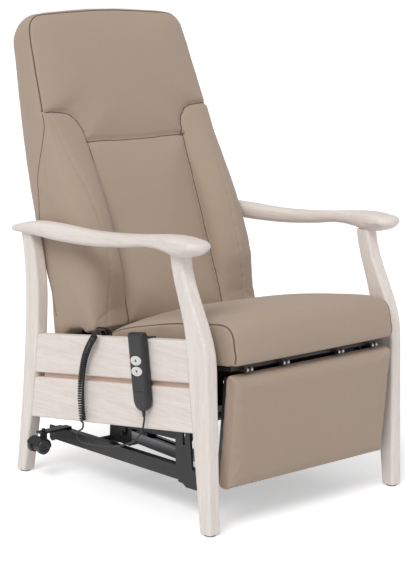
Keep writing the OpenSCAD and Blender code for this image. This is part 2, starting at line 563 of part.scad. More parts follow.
module legrest_brackets() color("dimgray") centred() for (x = hinge_xs) {
    for (s = [-9.6, 3.6]) side_plate(x + s, 6) {
        translate(hinge) circle(knuckle_r);
        polygon([hinge, hinge - [0, knuckle_r], [16, board_low(16) - strap_t], [110, board_low(110) - strap_t],
            [110, board_low(110)], [14, board_low(14)]]);
    }
    cross_rod(x - 9, x + 9, hinge[0], hinge[1], leg_pin_r);
}

// ---- drive ------------------------------------------------------------------------------------
drive_rail_y = 215;
drive_rail_z = 108;
drive_rail_l = 210;
spindle_r = 5;
block_l = 40;
block_y = 150;
gear_l = 86;
module at_drive() translate([drive_x, drive_rail_y, drive_rail_z]) rotate([rail_slope, 0, 0]) children();
module drive_rail() color("dimgray") centred() at_drive() difference() {
    translate([-drive_rail_w / 2, 0, 0]) cube([drive_rail_w, drive_rail_l, drive_rail_h]);
    translate([3 - drive_rail_w / 2, 4, 3]) cube([drive_rail_w - 6, drive_rail_l, drive_rail_h - 6]);
    translate([-5, 4, drive_rail_h - 4]) cube([10, drive_rail_l, 5]);
}
module drive_spindle() color("silver") centred() at_drive()
    translate([0, 4.3, drive_rail_h / 2]) rotate([-90, 0, 0]) cylinder(r = spindle_r, h = drive_rail_l - 4.6);
module gear_housing() color("black") centred() at_drive() translate([-drive_rail_w / 2, drive_rail_l, -14])
    rotate([90, 0, 90]) linear_extrude(50) polygon(corner_ring(0, gear_l, 0, 52, 8));
module drive_motor() color("black") centred() at_drive() {
    cross_rod(50 - drive_rail_w / 2, 60 - drive_rail_w / 2, drive_rail_l + 44, 12, motor_r - 3);
    cross_rod(60 - drive_rail_w / 2, 148 - drive_rail_w / 2, drive_rail_l + 44, 12, motor_r);
    cross_rod(148 - drive_rail_w / 2, 154 - drive_rail_w / 2, drive_rail_l + 44, 12, motor_r - 8);
}
function on_drive(y, z) = [drive_rail_y + y * cos(rail_slope) - z * sin(rail_slope),
    drive_rail_z + y * sin(rail_slope) + z * cos(rail_slope)];
hanger_x = drive_x - drive_rail_w / 2 - side_gap - plate_t;
module drive_hangers() color("dimgray") centred() {
    side_plate(hanger_x, plate_t) difference() {
        union() {
            for (p = [front_tube, rear_tube]) translate(p) circle(tube_r + 6);
            flat_bar(front_tube, on_drive(14, 16), 24);
            flat_bar(rear_tube, on_drive(drive_rail_l + 34, 16), 30);
            flat_bar(on_drive(30, 62), on_drive(drive_rail_l + 20, 44), 22);
        }
        for (p = [front_tube, rear_tube]) translate(p) circle(tube_r + pin_fit);
    }
    for (p = [on_drive(14, 13.5), on_drive(drive_rail_l + 30, 13.5)])
        cross_rod(hanger_x - 4, hanger_x, p[0], p[1], 6);
    p = on_drive(14, 13.5);
    cross_rod(hanger_x, drive_x - drive_rail_w / 2, p[0], p[1], 5);
    q = on_drive(drive_rail_l + 30, 13.5);
    cross_rod(hanger_x, drive_x - drive_rail_w / 2, q[0], q[1], 5);
}
yoke = 6;
crank_slot = drive_pin_r + crank_r * 0.0212 + 0.5;
module drive_bar() color("gray") centred() {
    block = on_drive(block_y + block_l / 2, drive_rail_h);
    side_plate(drive_x - drive_bar_t / 2, drive_bar_t) difference() {
        union() {
            slot_2d(crank_pin[0], crank_pin[1] - crank_sag + slide_fall / 2 - 5, crank_pin[1] + slide_fall, crank_slot + yoke);
            translate([crank_pin[0], crank_pin[1] - 16]) square([block[0] + 15 - crank_pin[0], 22]);
            translate([block[0] - 15, block[1] + 1]) square([30, crank_pin[1] + 6 - block[1] - 1]);
            translate([block[0] - 15, lever_pin[1] - 8]) square([lever_pin[0] - block[0] + 15, 20]);
            slot_2d(lever_pin[0], lever_pin[1] - lever_sag + slide_fall / 2, lever_pin[1] + slide_fall, drive_pin_r + 0.8 + yoke);
        }
        slot_2d(crank_pin[0], crank_pin[1] - crank_sag + slide_fall / 2 - 1, crank_pin[1] + slide_fall, crank_slot);
        slot_2d(lever_pin[0], lever_pin[1] - lever_sag + slide_fall / 2 - 1, lever_pin[1] + slide_fall, drive_pin_r + 0.8);
    }
    at_drive() {
        translate([-drive_rail_w / 2 - 0.3, block_y, drive_rail_h + 0.3]) cube([drive_rail_w + 0.6, block_l, 9]);
        difference() {
            translate([-8, block_y + 5, 4.5]) cube([16, block_l - 10, drive_rail_h - 9]);
            translate([0, block_y, drive_rail_h / 2]) rotate([-90, 0, 0]) cylinder(r = spindle_r + pin_fit, h = block_l);
        }
        translate([-4, block_y + 5, drive_rail_h - 5]) cube([8, block_l - 10, 6]);
    }
}
module control_box() color("black") centred() at_seat() translate([-244, 345, -board_t - 30])
    linear_extrude(30) polygon(corner_ring(0, 50, 0, 92, 6));
gland_x = -224;
gland_z = -27;
module cord_gland() color("black") centred() at_seat() translate([gland_x, 437, gland_z]) rotate([-90, 0, 0]) {
    cylinder(r = 5.5, h = 4);
    cylinder(r = 4, h = 12);
}

// ---- handset ----------------------------------------------------------------------------------
hook_t = 2.5;
hook_w = 34;
hand_y = 254;
hand_top = 83;
hand_x = -(rail_out + 0.3 + hook_t + 0.3);
hand_mid = handset_t * 0.48;
end_r = handset_w / 2;
hand_outline = concat([for (a = [180 : 15 : 360]) [end_r * 0.96 * cos(a), end_r + end_r * sin(a)]],
    [[end_r, 0.45 * handset_l], [end_r, handset_l - 6]],
    [for (a = [30 : 30 : 90]) [end_r - 6 + 6 * cos(a), handset_l - 6 + 6 * sin(a)]],
    [for (a = [90 : 30 : 150]) [6 - end_r + 6 * cos(a), handset_l - 6 + 6 * sin(a)]],
    [[-end_r, handset_l - 6], [-end_r, 0.45 * handset_l]]);
module at_hand() at_seat() translate([hand_x, hand_y, hand_top - handset_l]) children();
hand_c = [0, handset_l / 2];
function hand_ring(x, inset) = [for (p = hand_outline)
    [-x, p[0] * (1 - inset / end_r), hand_c[1] + (p[1] - hand_c[1]) * (1 - inset / hand_c[1])]];
module ellipse_prism(x, t, z, a, b) translate([-x, 0, z]) rotate([90, 0, -90])
    linear_extrude(t) polygon([for (k = [0 : 35]) [a * cos(10 * k), b * sin(10 * k)]]);
relief_l = 14;
relief_r = cord_d / 2 + 2.2;
module relief_socket() translate([-handset_t / 2, 0, -1]) cylinder(r = relief_r + 0.1, h = 2.3);
button_z = [handset_l - 65, handset_l - 90];
button_gap = 0.35;
wall = 3;
module handset_back() color("dimgray") centred() at_hand() difference() {
    loft([hand_ring(0, 3), hand_ring(1, 1.2), hand_ring(3, 0), hand_ring(hand_mid, 0)]);
    translate([-hand_mid - 1, -end_r + wall + 3, 34]) cube([hand_mid - wall + 1, 2 * (end_r - wall - 3), handset_l - 48]);
    relief_socket();
}
module handset_front() color("dimgray") centred() at_hand() difference() {
    loft([hand_ring(hand_mid + 0.15, 0), hand_ring(handset_t - 4.5, 0.3), hand_ring(handset_t - 2, 1.6),
        hand_ring(handset_t - 0.7, 4), hand_ring(handset_t, 7)]);
    for (z = button_z) ellipse_prism(hand_mid - 1, handset_t, z, button_a + button_gap, button_b + button_gap);
    translate([-handset_t - 1, -end_r - 1, 46]) cube([1.9, 2 * end_r + 2, 1.2]);
    relief_socket();
}
board_x = hand_mid - 2;
switch_h = 2.4;
module handset_board() color("green") centred() at_hand() {
    translate([-board_x, -end_r + wall + 3.4, 36]) cube([1.6, 2 * (end_r - wall - 3.4), handset_l - 52]);
    for (z = button_z) translate([-board_x - switch_h, -4, z - 4]) cube([switch_h + 0.1, 8, 8]);
    for (z = [40, handset_l - 22]) translate([-board_x + 1.5, -3, z]) cube([board_x - wall - 1.5, 6, 6]);
}
button_base = board_x + switch_h + button_travel + 0.3;
module push_button(z) at_hand() ellipse_prism(button_base, handset_t + 1.3 - button_base, z, button_a, button_b);
module button_up() color("whitesmoke") centred() push_button(button_z[0]);
module button_down() color("whitesmoke") centred() push_button(button_z[1]);
module handset_hook() color("black") centred() at_seat() translate([0, hand_y - hook_w / 2, 0]) {
    translate([hand_x + 0.3, 0, rail_top_z - 58]) cube([hook_t, hook_w, 58 + 0.3 + hook_t]);
    translate([hand_x + 0.3, 0, rail_top_z + 0.3]) cube([rail_t + 0.6 + 2 * hook_t, hook_w, hook_t]);
    translate([-rail_in + 0.3, 0, rail_top_z - 24]) cube([hook_t, hook_w, 24 + 0.3 + hook_t]);
}
module cord_relief() color("black") centred() at_hand() translate([-handset_t / 2, 0, -relief_l]) rotate_extrude()
    polygon([[0, 0], [cord_d / 2 + 1, 0], [relief_r, relief_l - 1], [relief_r, relief_l + 1.2], [0, relief_l + 1.2]]);

// ---- handset cord -----------------------------------------------------------------------------
// Hand-chosen points of the cord's free stretches, and of the axis of its curls
relief_end = on_seat([hand_x - handset_t / 2, hand_y, hand_top - handset_l - relief_l]);
relief_dir = [0, -sin(rake), -cos(rake)];
lead_points = [relief_end + cord_d * relief_dir, [-331, 222, 212], [-332, 236, 192], [-333, 264, 172],
    [-333, 305, 157], [-333, 352, 147], [-333, 400, 140], [-333, 436, 136], [-333, 460, 138], [-333, 470, 148],
    [-333, 464, 160], [-333, 451, 168], [-333, 446, 180 - cord_d]];
curl_points = [[-333, 446, 180], [-333, 446, 190], [-333, 449, 204], [-333, 453, 246], [-333, 450, 294], [-333, 438, 343],
    [-333, 421, 376], [-332, 405, 398], [-331, 396, 411], [-331, 394, 417]];
tail_points = [[-331, 394, 417] + cord_d * unit([0, -2, 6]), [-326, 393, 426], [-314, 394, 424], [-299, 396, 420], [-286, 399, 413],
    [-277, 403, 400], [-272, 410, 378], [-270, 422, 352], [-268, 436, 332], [-260, 447, 317], [-246, 450, 309],
    [-232, 443, 305], on_seat([gland_x, 449 + cord_d, gland_z])];
function unit(v) = v / norm(v);
function spline_at(q, k, t) = let (n = len(q) - 1, a = q[max(0, k - 1)], b = q[k], c = q[min(n, k + 1)], d = q[min(n, k + 2)])
    b + t / 2 * ((c - a) + t * ((2 * a - 5 * b + 4 * c - d) + t * (3 * b - a - 3 * c + d)));
function spline_path(q, steps) = concat([for (k = [0 : len(q) - 2]) for (j = [0 : steps - 1]) spline_at(q, k, j / steps)], [q[len(q) - 1]]);
function tangent(q, k) = unit(q[min(len(q) - 1, k + 1)] - q[max(0, k - 1)]);
// Rings square to a path, turned as little as can be from one to the next
function carry(q, k, u) = let (t = tangent(q, k), w = u - (u * t) * t) unit(w);
function frames(q, k, u) = k >= len(q) ? [] : let (w = carry(q, k, u)) concat([w], frames(q, k + 1, w));
module tube(q, r, sides, start) {
    u = frames(q, 0, start);
    loft([for (k = [0 : len(q) - 1]) let (v = cross(tangent(q, k), u[k]))
        [for (j = [0 : sides - 1]) q[k] + r * (cos(360 * j / sides) * u[k] + sin(360 * j / sides) * v)]]);
}
curl_r = (curl_d - cord_d) / 2;
curl_axis = spline_path(curl_points, 6);
curl_last = len(curl_axis) - 1;
curl_steps = 8;
curl_n = curls * curl_steps;
axis_run = [for (k = 0, s = 0; k <= curl_last; s = s + (k < curl_last ? norm(curl_axis[k + 1] - curl_axis[k]) : 0), k = k + 1) s];
axis_l = axis_run[curl_last];
axis_frames = frames(curl_axis, 0, [-1, 0, 0]);
// Place and two cross directions at a distance s along the axis of the curls
function axis_at(s) = let (k = max([for (i = [0 : curl_last - 1]) if (axis_run[i] <= s) i]),
    t = (s - axis_run[k]) / (axis_run[k + 1] - axis_run[k]), u = unit(mix(axis_frames[k], axis_frames[k + 1], t)),
    d = unit(mix(tangent(curl_axis, k), tangent(curl_axis, k + 1), t)))
    [mix(curl_axis[k], curl_axis[k + 1], t), u, cross(d, u)];
curl_lead = 2.4 * cord_d;
function curl_point(k) = let (f = axis_at(mix(curl_lead, axis_l - curl_lead, k / curl_n)), a = 360 * k / curl_steps)
    f[0] + curl_r * (cos(a) * f[1] + sin(a) * f[2]);
curl_path = concat([axis_at(0)[0], axis_at(cord_d)[0]], [for (k = [0 : curl_n]) curl_point(k)],
    [axis_at(axis_l - cord_d)[0], curl_axis[curl_last]]);
// Least gap between one curl and the next
curl_gap = min([for (k = [0 : curl_n - 6]) for (j = [6 : min(10, curl_n - k)])
    norm(curl_path[k + 2] - curl_path[k + j + 2])]) - cord_d;
echo(curl_gap = curl_gap);
module cord_curl() color("black") centred() tube(curl_path, cord_d / 2, 6, [0, 1, 0]);
// Both ends of a stretch run straight for one cord diameter
module cord_lead() color("black") centred() tube(concat([relief_end], spline_path(lead_points, 3), [curl_points[0]]),
    cord_d / 2, 8, [1, 0, 0]);
module cord_tail() color("black") centred() tube(concat([curl_points[len(curl_points) - 1]],
    spline_path(tail_points, 3), [on_seat([gland_x, 449, gland_z])]), cord_d / 2, 8, [0, 1, 0]);

// ---- castor chassis -----------------------------------------------------------------------------
beam_top = wheel_lift + 49;
beam_w = 20;
beam_out = 250;
post_t = 6;
stem_x = 310;
stem_y = 640;
arm_t = 5;
beam_front = 132;
beam_rear = 676;
module chassis_beams() color("dimgray") centred() both() difference() {
    union() {
        translate([beam_out - beam_w, beam_front, beam_top - beam_h]) cube([beam_w, beam_rear - beam_front, beam_h]);
        side_plate(beam_out - beam_w, beam_w) polygon([[beam_front - 4, beam_top - 2], [beam_front - 6, wheel_lift + 2],
            [beam_front + 30, wheel_lift + 2], [beam_front + 42, wheel_lift + 9], [beam_front + 58, wheel_lift + 10],
            [beam_front + 58, beam_top - 2]]);
        side_plate(beam_out - post_t, post_t) {
            translate([beam_rear - 4, beam_top - beam_h + 4]) square([24, beam_h - 4]);
            translate([beam_rear + 10, beam_top - beam_h + 4]) circle(10);
        }
        translate([beam_out - beam_w, stem_y - 12, beam_top - 0.01]) cube([stem_x + 14 - beam_out + beam_w, 24, arm_t]);
    }
    translate([stem_x, stem_y, beam_top - 1]) cylinder(r = stem_r + pin_fit, h = arm_t + 2);
    cross_rod(beam_out - post_t - 1, beam_out + 1, beam_rear + 11, beam_top - beam_h + 4, 3.5);
}
module chassis_posts() color("dimgray") centred() both() side_plate(beam_out - post_t, post_t) difference() {
    polygon([[141, beam_top], [199, beam_top], [200, post_pin[1] + 4], [192, post_pin[1] + 14],
        [164, post_pin[1] + 14], [154, post_pin[1] + 4]]);
    translate(post_pin) circle(lift_pin_r + pin_fit);
    translate(post_pin - [0, post_pin_step]) circle(lift_pin_r + 0.3);
    slot_2d(169, beam_top + 58, beam_top + 80, 4.5);
}
module chassis_tubes() color("dimgray") centred() for (p = [[158, beam_top - 16], [530, beam_top - 18]]) difference() {
    cross_rod(beam_w - beam_out, beam_out - beam_w, p[0], p[1], tube_r);
    cross_rod(beam_w - beam_out - 1, beam_out - beam_w + 1, p[0], p[1], tube_r - tube_wall);
}
module lift_arm(drop) difference() {
    union() {
        side_plate(arm_plate_x, arm_plate_t) {
            flat_bar(post_pin - [0, drop], frame_pin - [0, drop], lift_arm_h);
            translate(post_pin - [0, drop]) circle(lift_arm_h / 2);
            translate(frame_pin - [0, drop]) circle(lift_arm_h / 2);
        }
        cross_rod(beam_out - post_t - 6, arm_plate_x + 1, post_pin[0], post_pin[1] - drop, lift_pin_r);
    }
    cross_rod(arm_plate_x - 1, arm_plate_x + arm_plate_t + 1, frame_pin[0], frame_pin[1] - drop, lift_pin_r + pin_fit);
}
module lift_arms_upper() color("dimgray") centred() both() lift_arm(0);
module lift_arms_lower() color("dimgray") centred() both() lift_arm(post_pin_step);

// ---- castors ------------------------------------------------------------------------------------
axle_z = wheel_lift + wheel_r;
axle_r = 3;
hood_half = wheel_gap / 2 - wheel_w / 2 - 1;
module fore_aft(y0, y1, r) translate([0, y0, 0]) rotate([-90, 0, 0]) cylinder(r = r, h = y1 - y0);
// The hood over the wheels and the web between them, as arcs about the axle
function hood_arc(r, way = 1) = [for (k = [0 : 12]) let (a = 20 + 170 * (way > 0 ? k : 12 - k) / 12) r * [cos(a), sin(a)]];
module hood(w) rotate([90, 0, 0]) translate([0, 0, -w / 2]) linear_extrude(w) children();
module caster_fork() translate([stem_x, stem_y, 0]) {
    translate([0, 0, axle_z + 4]) cylinder(r = 9, h = beam_top - 0.4 - axle_z - 4);
    translate([0, 0, beam_top - 2]) cylinder(r = stem_r, h = arm_t + 8);
    translate([trail, 0, axle_z]) {
        fore_aft(-hood_half - 0.5, hood_half + 0.5, wheel_r - 5);
        fore_aft(-wheel_gap / 2 - wheel_w / 2, wheel_gap / 2 + wheel_w / 2, axle_r);
        hood(wheel_gap + 8) polygon(concat(hood_arc(wheel_r + 3.2), hood_arc(wheel_r + 1, -1)));
        hood(2 * hood_half) polygon(concat(hood_arc(wheel_r + 2), [[-3, -3], [3, -3]]));
    }
}
module caster_wheels() translate([stem_x + trail, stem_y, axle_z]) for (s = [-1, 1])
    translate([0, s * wheel_gap / 2, 0]) rotate([90, 0, 0]) rotate_extrude() polygon([[axle_r + pin_fit, -wheel_w / 2 + 1],
        [8, -wheel_w / 2 + 1], [10, -wheel_w / 2], [wheel_r - 2, -wheel_w / 2], [wheel_r, -wheel_w / 2 + 2.5],
        [wheel_r, wheel_w / 2 - 2.5], [wheel_r - 2, wheel_w / 2], [10, wheel_w / 2], [8, wheel_w / 2 - 1],
        [axle_r + pin_fit, wheel_w / 2 - 1]]);
module caster_fork_right() color("black") centred() mirror([1, 0, 0]) caster_fork();
module caster_fork_left() color("black") centred() caster_fork();
module caster_wheels_right() color("dimgray") centred() mirror([1, 0, 0]) caster_wheels();
module caster_wheels_left() color("dimgray") centred() caster_wheels();

// The origin lies under the middle of the whole chair, so everything is set back by mid_y
front_most = min([for (r = seat_rings) for (p = r) p[1]]);
rear_most = max([for (r = panel_rings) for (p = r) p[1]]);
mid_y = (front_most + rear_most) / 2;
echo(front_most = front_most, rear_most = rear_most, mid_y = mid_y);

front_leg_right();
front_leg_left();
rear_leg_right();
rear_leg_left();
armrest_right();
armrest_left();
upper_rail_right();
upper_rail_left();
lower_rail_right();
lower_rail_left();
rear_crossrail();
leg_glides();
frame_bolts();
mechanism_side_right();
mechanism_side_left();
mechanism_tubes();
pivot_bolts();
seat_board();
seat_cushion();
back_board();
back_panel();
head_cushion();
lumbar_cushion();
bolster_right();
bolster_left();
back_hinge_plates();
back_lever();
legrest_board();
legrest_pad();
legrest_hinges();
legrest_brackets();
drive_rail();
drive_spindle();
gear_housing();
drive_motor();
drive_hangers();
drive_bar();
control_box();
cord_gland();
handset_front();
handset_back();
button_up();
button_down();
handset_board();
handset_hook();
cord_relief();
cord_curl();
cord_lead();
cord_tail();
chassis_beams();
chassis_posts();
chassis_tubes();
lift_arms_upper();
lift_arms_lower();
caster_fork_right();
caster_fork_left();
caster_wheels_right();
caster_wheels_left();
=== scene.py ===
import math
import bpy
import bmesh
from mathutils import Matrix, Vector, noise
from mathutils.bvhtree import BVHTree
from mathutils.kdtree import KDTree


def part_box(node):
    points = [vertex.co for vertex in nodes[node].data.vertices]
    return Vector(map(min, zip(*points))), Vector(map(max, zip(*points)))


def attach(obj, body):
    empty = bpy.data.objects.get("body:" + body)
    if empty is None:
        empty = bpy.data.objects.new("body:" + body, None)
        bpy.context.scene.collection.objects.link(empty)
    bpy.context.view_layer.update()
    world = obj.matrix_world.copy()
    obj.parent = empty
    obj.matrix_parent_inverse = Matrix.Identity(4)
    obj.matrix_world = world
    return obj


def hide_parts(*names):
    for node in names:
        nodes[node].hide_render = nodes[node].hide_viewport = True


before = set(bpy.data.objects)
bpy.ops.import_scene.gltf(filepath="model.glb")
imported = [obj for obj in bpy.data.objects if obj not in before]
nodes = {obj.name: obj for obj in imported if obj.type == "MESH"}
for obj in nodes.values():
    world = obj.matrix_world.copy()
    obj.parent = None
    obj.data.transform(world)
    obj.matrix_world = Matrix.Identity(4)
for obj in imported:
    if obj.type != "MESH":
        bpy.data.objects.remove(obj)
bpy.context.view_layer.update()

scene = bpy.context.scene
midY = 0.406365               # from the front feet back to the middle of the chair
rake = math.radians(7.2)      # slope of the seat
lean = math.radians(20.6)     # lean of the back
hang = math.radians(5.8)      # lean of the leg rest
seatStart = (-20, 388.5)      # depth and height of the seat's lower front edge, in millimetres
backStart = (510, 500)        # the same for the middle of the back's front plane at its foot
legStart = (-20, 364)         # and for the leg rest's top edge


def chairPoint(x, y, z):      # millimetres from the front feet to the shared frame
    return Vector((x / 1000, y / 1000 - midY, z / 1000))


def seatPoint(x, y, z):       # along and above the seat's lower face, in millimetres
    return chairPoint(x, seatStart[0] + y * math.cos(rake) + z * math.sin(rake),
                      seatStart[1] - y * math.sin(rake) + z * math.cos(rake))


def backPoint(x, y, v):       # depth behind the back's front plane and height along it
    return chairPoint(x, backStart[0] + y * math.cos(lean) + v * math.sin(lean),
                      backStart[1] - y * math.sin(lean) + v * math.cos(lean))


def legPoint(x, y, z):        # depth and height on the leg rest, z down from its top edge
    return chairPoint(x, legStart[0] + y * math.cos(hang) - z * math.sin(hang),
                      legStart[1] + y * math.sin(hang) + z * math.cos(hang))


# The camera
cameraSet = {"place": chairPoint(-2837.6, -2830.9, 1253.3), "yaw": 0.7227, "pitch": 0.1782, "lens": 108.95}


def makeCamera():
    data = bpy.data.cameras.new("camera")
    data.lens = cameraSet["lens"]
    data.sensor_width = 36
    data.sensor_fit = "AUTO"
    data.clip_end = 200
    camera = bpy.data.objects.new("camera", data)
    scene.collection.objects.link(camera)
    camera.location = cameraSet["place"]
    camera.rotation_euler = (math.pi / 2 - cameraSet["pitch"], 0, -cameraSet["yaw"])
    scene.camera = camera


makeCamera()
print("camera placed")


# The handset's cord, in millimetres from the front feet
cordSet = {"diameter": 4.6, "curls": 38, "curlAcross": 17.4, "perCurl": 14, "leadIn": 2.4,
           "relief": (-329.6, 254, -115), "gland": (-224, 449, -27)}
leadPoints = [(-331, 222, 212), (-332, 236, 192), (-333, 264, 172), (-333, 305, 157), (-333, 352, 147),
              (-333, 400, 140), (-333, 436, 136), (-333, 460, 138), (-333, 470, 148), (-333, 464, 160),
              (-333, 451, 168)]
curlPoints = [(-333, 446, 180), (-333, 446, 190), (-333, 449, 204), (-333, 453, 246), (-333, 450, 294),
              (-333, 438, 343), (-333, 421, 376), (-332, 405, 398), (-331, 396, 411), (-331, 394, 417)]
tailPoints = [(-326, 393, 426), (-314, 394, 424), (-299, 396, 420), (-286, 399, 413), (-277, 403, 400),
              (-272, 410, 378), (-270, 422, 352), (-268, 436, 332), (-260, 447, 317), (-246, 450, 309),
              (-232, 443, 305)]


def unchair(p):
    return Vector((p.x * 1000, (p.y + midY) * 1000, p.z * 1000))


def spline(points, steps):    # a smooth line through the points
    q = [Vector(p) for p in points]
    last, out = len(q) - 1, []
    for k in range(last):
        a, b, c, d = q[max(0, k - 1)], q[k], q[k + 1], q[min(last, k + 2)]
        for j in range(steps):
            t = j / steps
            out.append(b + t / 2 * ((c - a) + t * ((2 * a - 5 * b + 4 * c - d) + t * (3 * b - a - 3 * c + d))))
    return out + [q[last]]


def curlLine():               # the wound stretch, as even turns about its own axis
    axis = spline(curlPoints, 6)
    run = [0.0]
    for a, b in zip(axis, axis[1:]):
        run.append(run[-1] + (b - a).length)
    last = len(axis) - 1

    def tangent(k):
        return (axis[min(last, k + 1)] - axis[max(0, k - 1)]).normalized()
    cross, u = [], Vector((-1, 0, 0))
    for k in range(last + 1):
        t = tangent(k)
        u = (u - u.dot(t) * t).normalized()
        cross.append(u.copy())

    def at(s):
        k = max(i for i in range(last) if run[i] <= s + 1e-9)
        t = (s - run[k]) / (run[k + 1] - run[k])
        side = cross[k].lerp(cross[k + 1], t).normalized()
        along = tangent(k).lerp(tangent(k + 1), t).normalized()
        return axis[k].lerp(axis[k + 1], t), side, along.cross(side)
    d, count = cordSet["diameter"], cordSet["curls"] * cordSet["perCurl"]
    radius, lead = (cordSet["curlAcross"] - d) / 2, cordSet["leadIn"] * d
    out = [at(0)[0], at(d)[0]]
    for k in range(count + 1):
        place, side, up = at(lead + (run[-1] - 2 * lead) * k / count)
        a = 2 * math.pi * k / cordSet["perCurl"]
        out.append(place + radius * (math.cos(a) * side + math.sin(a) * up))
    return out + [at(run[-1] - d)[0], axis[last]]


def makeCord():
    d = cordSet["diameter"]
    x, y, z = cordSet["gland"]
    relief = unchair(seatPoint(*cordSet["relief"]))
    gland, glandOut = unchair(seatPoint(x, y, z)), unchair(seatPoint(x, y + d, z))
    down = Vector((0, -math.sin(rake), -math.cos(rake)))
    below = Vector(curlPoints[0]) - Vector((0, 0, d))
    curl = curlLine()
    lead = [relief] + spline([relief + d * down] + leadPoints + [below], 4)
    tail = spline([curl[-1] + d * Vector((0, -2, 6)).normalized()] + tailPoints + [glandOut], 4) + [gland]
    line = [p / 1000 - Vector((0, midY, 0)) for p in lead + curl + tail]
    line.reverse()
    data = bpy.data.curves.new("handsetCord", "CURVE")
    data.dimensions = "3D"
    data.bevel_depth = d / 2000
    data.bevel_resolution = 2
    data.use_fill_caps = True
    strand = data.splines.new("POLY")
    strand.points.add(len(line) - 1)
    for point, p in zip(strand.points, line):
        point.co = (*p, 1)
    strand.use_smooth = True
    cord = bpy.data.objects.new("handsetCord", data)
    scene.collection.objects.link(cord)
    length = sum((b - a).length for a, b in zip(line, line[1:]))
    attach(cord, "frame")
    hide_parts("cord_lead", "cord_curl", "cord_tail")
    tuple(line[0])
    print("cord: %.2f m" % length)
    return cord


cord = makeCord()


# Shader building
def tint(r, g, b):            # a colour as eight-bit values, made linear
    return tuple((c / 255 / 12.92 if c / 255 <= 0.04045 else ((c / 255 + 0.055) / 1.055) ** 2.4)
                 for c in (r, g, b)) + (1.0,)


def wire(tree, source, target):
    if isinstance(source, bpy.types.NodeSocket):
        tree.links.new(source, target)
    else:
        target.default_value = source


def calc(tree, operation, *values, clamp=False):
    node = tree.nodes.new("ShaderNodeMath")
    node.operation = operation
    node.use_clamp = clamp
    for socket, value in zip(node.inputs, values):
        wire(tree, value, socket)
    return node.outputs[0]


def times(tree, a, b, clamp=False):
    return calc(tree, "MULTIPLY", a, b, clamp=clamp)


def plus(tree, a, b, clamp=False):
    return calc(tree, "ADD", a, b, clamp=clamp)


def minus(tree, a, b):
    return calc(tree, "SUBTRACT", a, b)


def blendColour(tree, share, a, b):
    node = tree.nodes.new("ShaderNodeMix")
    node.data_type = "RGBA"
    wire(tree, share, node.inputs[0])
    wire(tree, a, node.inputs[6])
    wire(tree, b, node.inputs[7])
    return node.outputs[2]


def scaled(tree, vector, scale):
    node = tree.nodes.new("ShaderNodeVectorMath")
    node.operation = "MULTIPLY"
    wire(tree, vector, node.inputs[0])
    wire(tree, scale, node.inputs[1])
    return node.outputs[0]


def cloudy(tree, vector, scale, detail=3.0, rough=0.5):
    node = tree.nodes.new("ShaderNodeTexNoise")
    wire(tree, vector, node.inputs["Vector"])
    wire(tree, scale, node.inputs["Scale"])
    node.inputs["Detail"].default_value = detail
    node.inputs["Roughness"].default_value = rough
    return node.outputs["Fac"]


def spread(tree, value, low, high):
    node = tree.nodes.new("ShaderNodeMapRange")
    node.interpolation_type = "SMOOTHSTEP"
    for name, given in (("Value", value), ("From Min", low), ("From Max", high)):
        wire(tree, given, node.inputs[name])
    return node.outputs["Result"]


def newGroup(name, inputs):   # every group gives a colour, a height for the bump and a roughness
    tree = bpy.data.node_groups.new(name, "ShaderNodeTree")
    for label, kind, value in inputs:
        socket = tree.interface.new_socket(label, in_out="INPUT", socket_type="NodeSocket" + kind)
        socket.default_value = value
    for label, kind in (("Color", "Color"), ("Height", "Float"), ("Roughness", "Float")):
        tree.interface.new_socket(label, in_out="OUTPUT", socket_type="NodeSocket" + kind)
    start = tree.nodes.new("NodeGroupInput")
    end = tree.nodes.new("NodeGroupOutput")
    return tree, start.outputs, end.inputs


def objectPlace(tree):
    return tree.nodes.new("ShaderNodeTexCoord").outputs["Object"]


weaveSet = {"slants": (0.62, 0.81), "yarn": (320.0, 320.0, 60.0), "slub": (60.0, 320.0, 320.0), "patch": 7.0,
            "cellShare": 0.3, "yarnShare": 0.5, "roughShare": 0.3}


# Plain weave from two crossed sets of threads, with thick and thin yarn and a soft mottle
def makeWeaveGroup():
    c = weaveSet
    tree, given, result = newGroup("clothWeave", [
        ("Lit", "Color", (0.4, 0.3, 0.2, 1)), ("Shade", "Color", (0.3, 0.2, 0.1, 1)),
        ("Threads per Metre", "Float", 900.0), ("Thread Contrast", "Float", 0.3), ("Mottle", "Float", 0.2),
        ("Base Roughness", "Float", 0.8)])
    place = objectPlace(tree)
    parts = tree.nodes.new("ShaderNodeSeparateXYZ")
    tree.links.new(place, parts.inputs[0])
    x, y, z = parts.outputs
    turns = times(tree, given["Threads per Metre"], math.pi)
    warp, weft = [calc(tree, "SINE", times(tree, plus(tree, run, times(tree, y, slant)), turns))
                  for run, slant in zip((x, z), c["slants"])]
    yarn = cloudy(tree, scaled(tree, place, c["yarn"]), 1.0, 2.0)
    slub = cloudy(tree, scaled(tree, place, c["slub"]), 1.0, 2.0)
    threads = plus(tree, times(tree, times(tree, warp, weft), c["cellShare"]),
                   times(tree, plus(tree, yarn, slub), c["yarnShare"]))
    patch = cloudy(tree, place, c["patch"], 4.0, 0.6)
    shade = plus(tree, times(tree, minus(tree, 0.5, threads), given["Thread Contrast"]),
                 times(tree, minus(tree, 0.5, patch), given["Mottle"]))
    share = plus(tree, shade, 0.5, clamp=True)
    tree.links.new(blendColour(tree, share, given["Lit"], given["Shade"]), result["Color"])
    tree.links.new(threads, result["Height"])
    tree.links.new(plus(tree, given["Base Roughness"], times(tree, shade, c["roughShare"])), result["Roughness"])
    return tree


grainSet = {"broad": 0.55, "ring": 2.2, "pore": (4.5, 4.5, 4.5), "poreFrom": 0.56, "poreTo": 0.7,
            "figureFrom": 0.35, "figureTo": 0.66, "broadShare": 0.6, "ringShare": 0.4, "roughShare": 0.18}


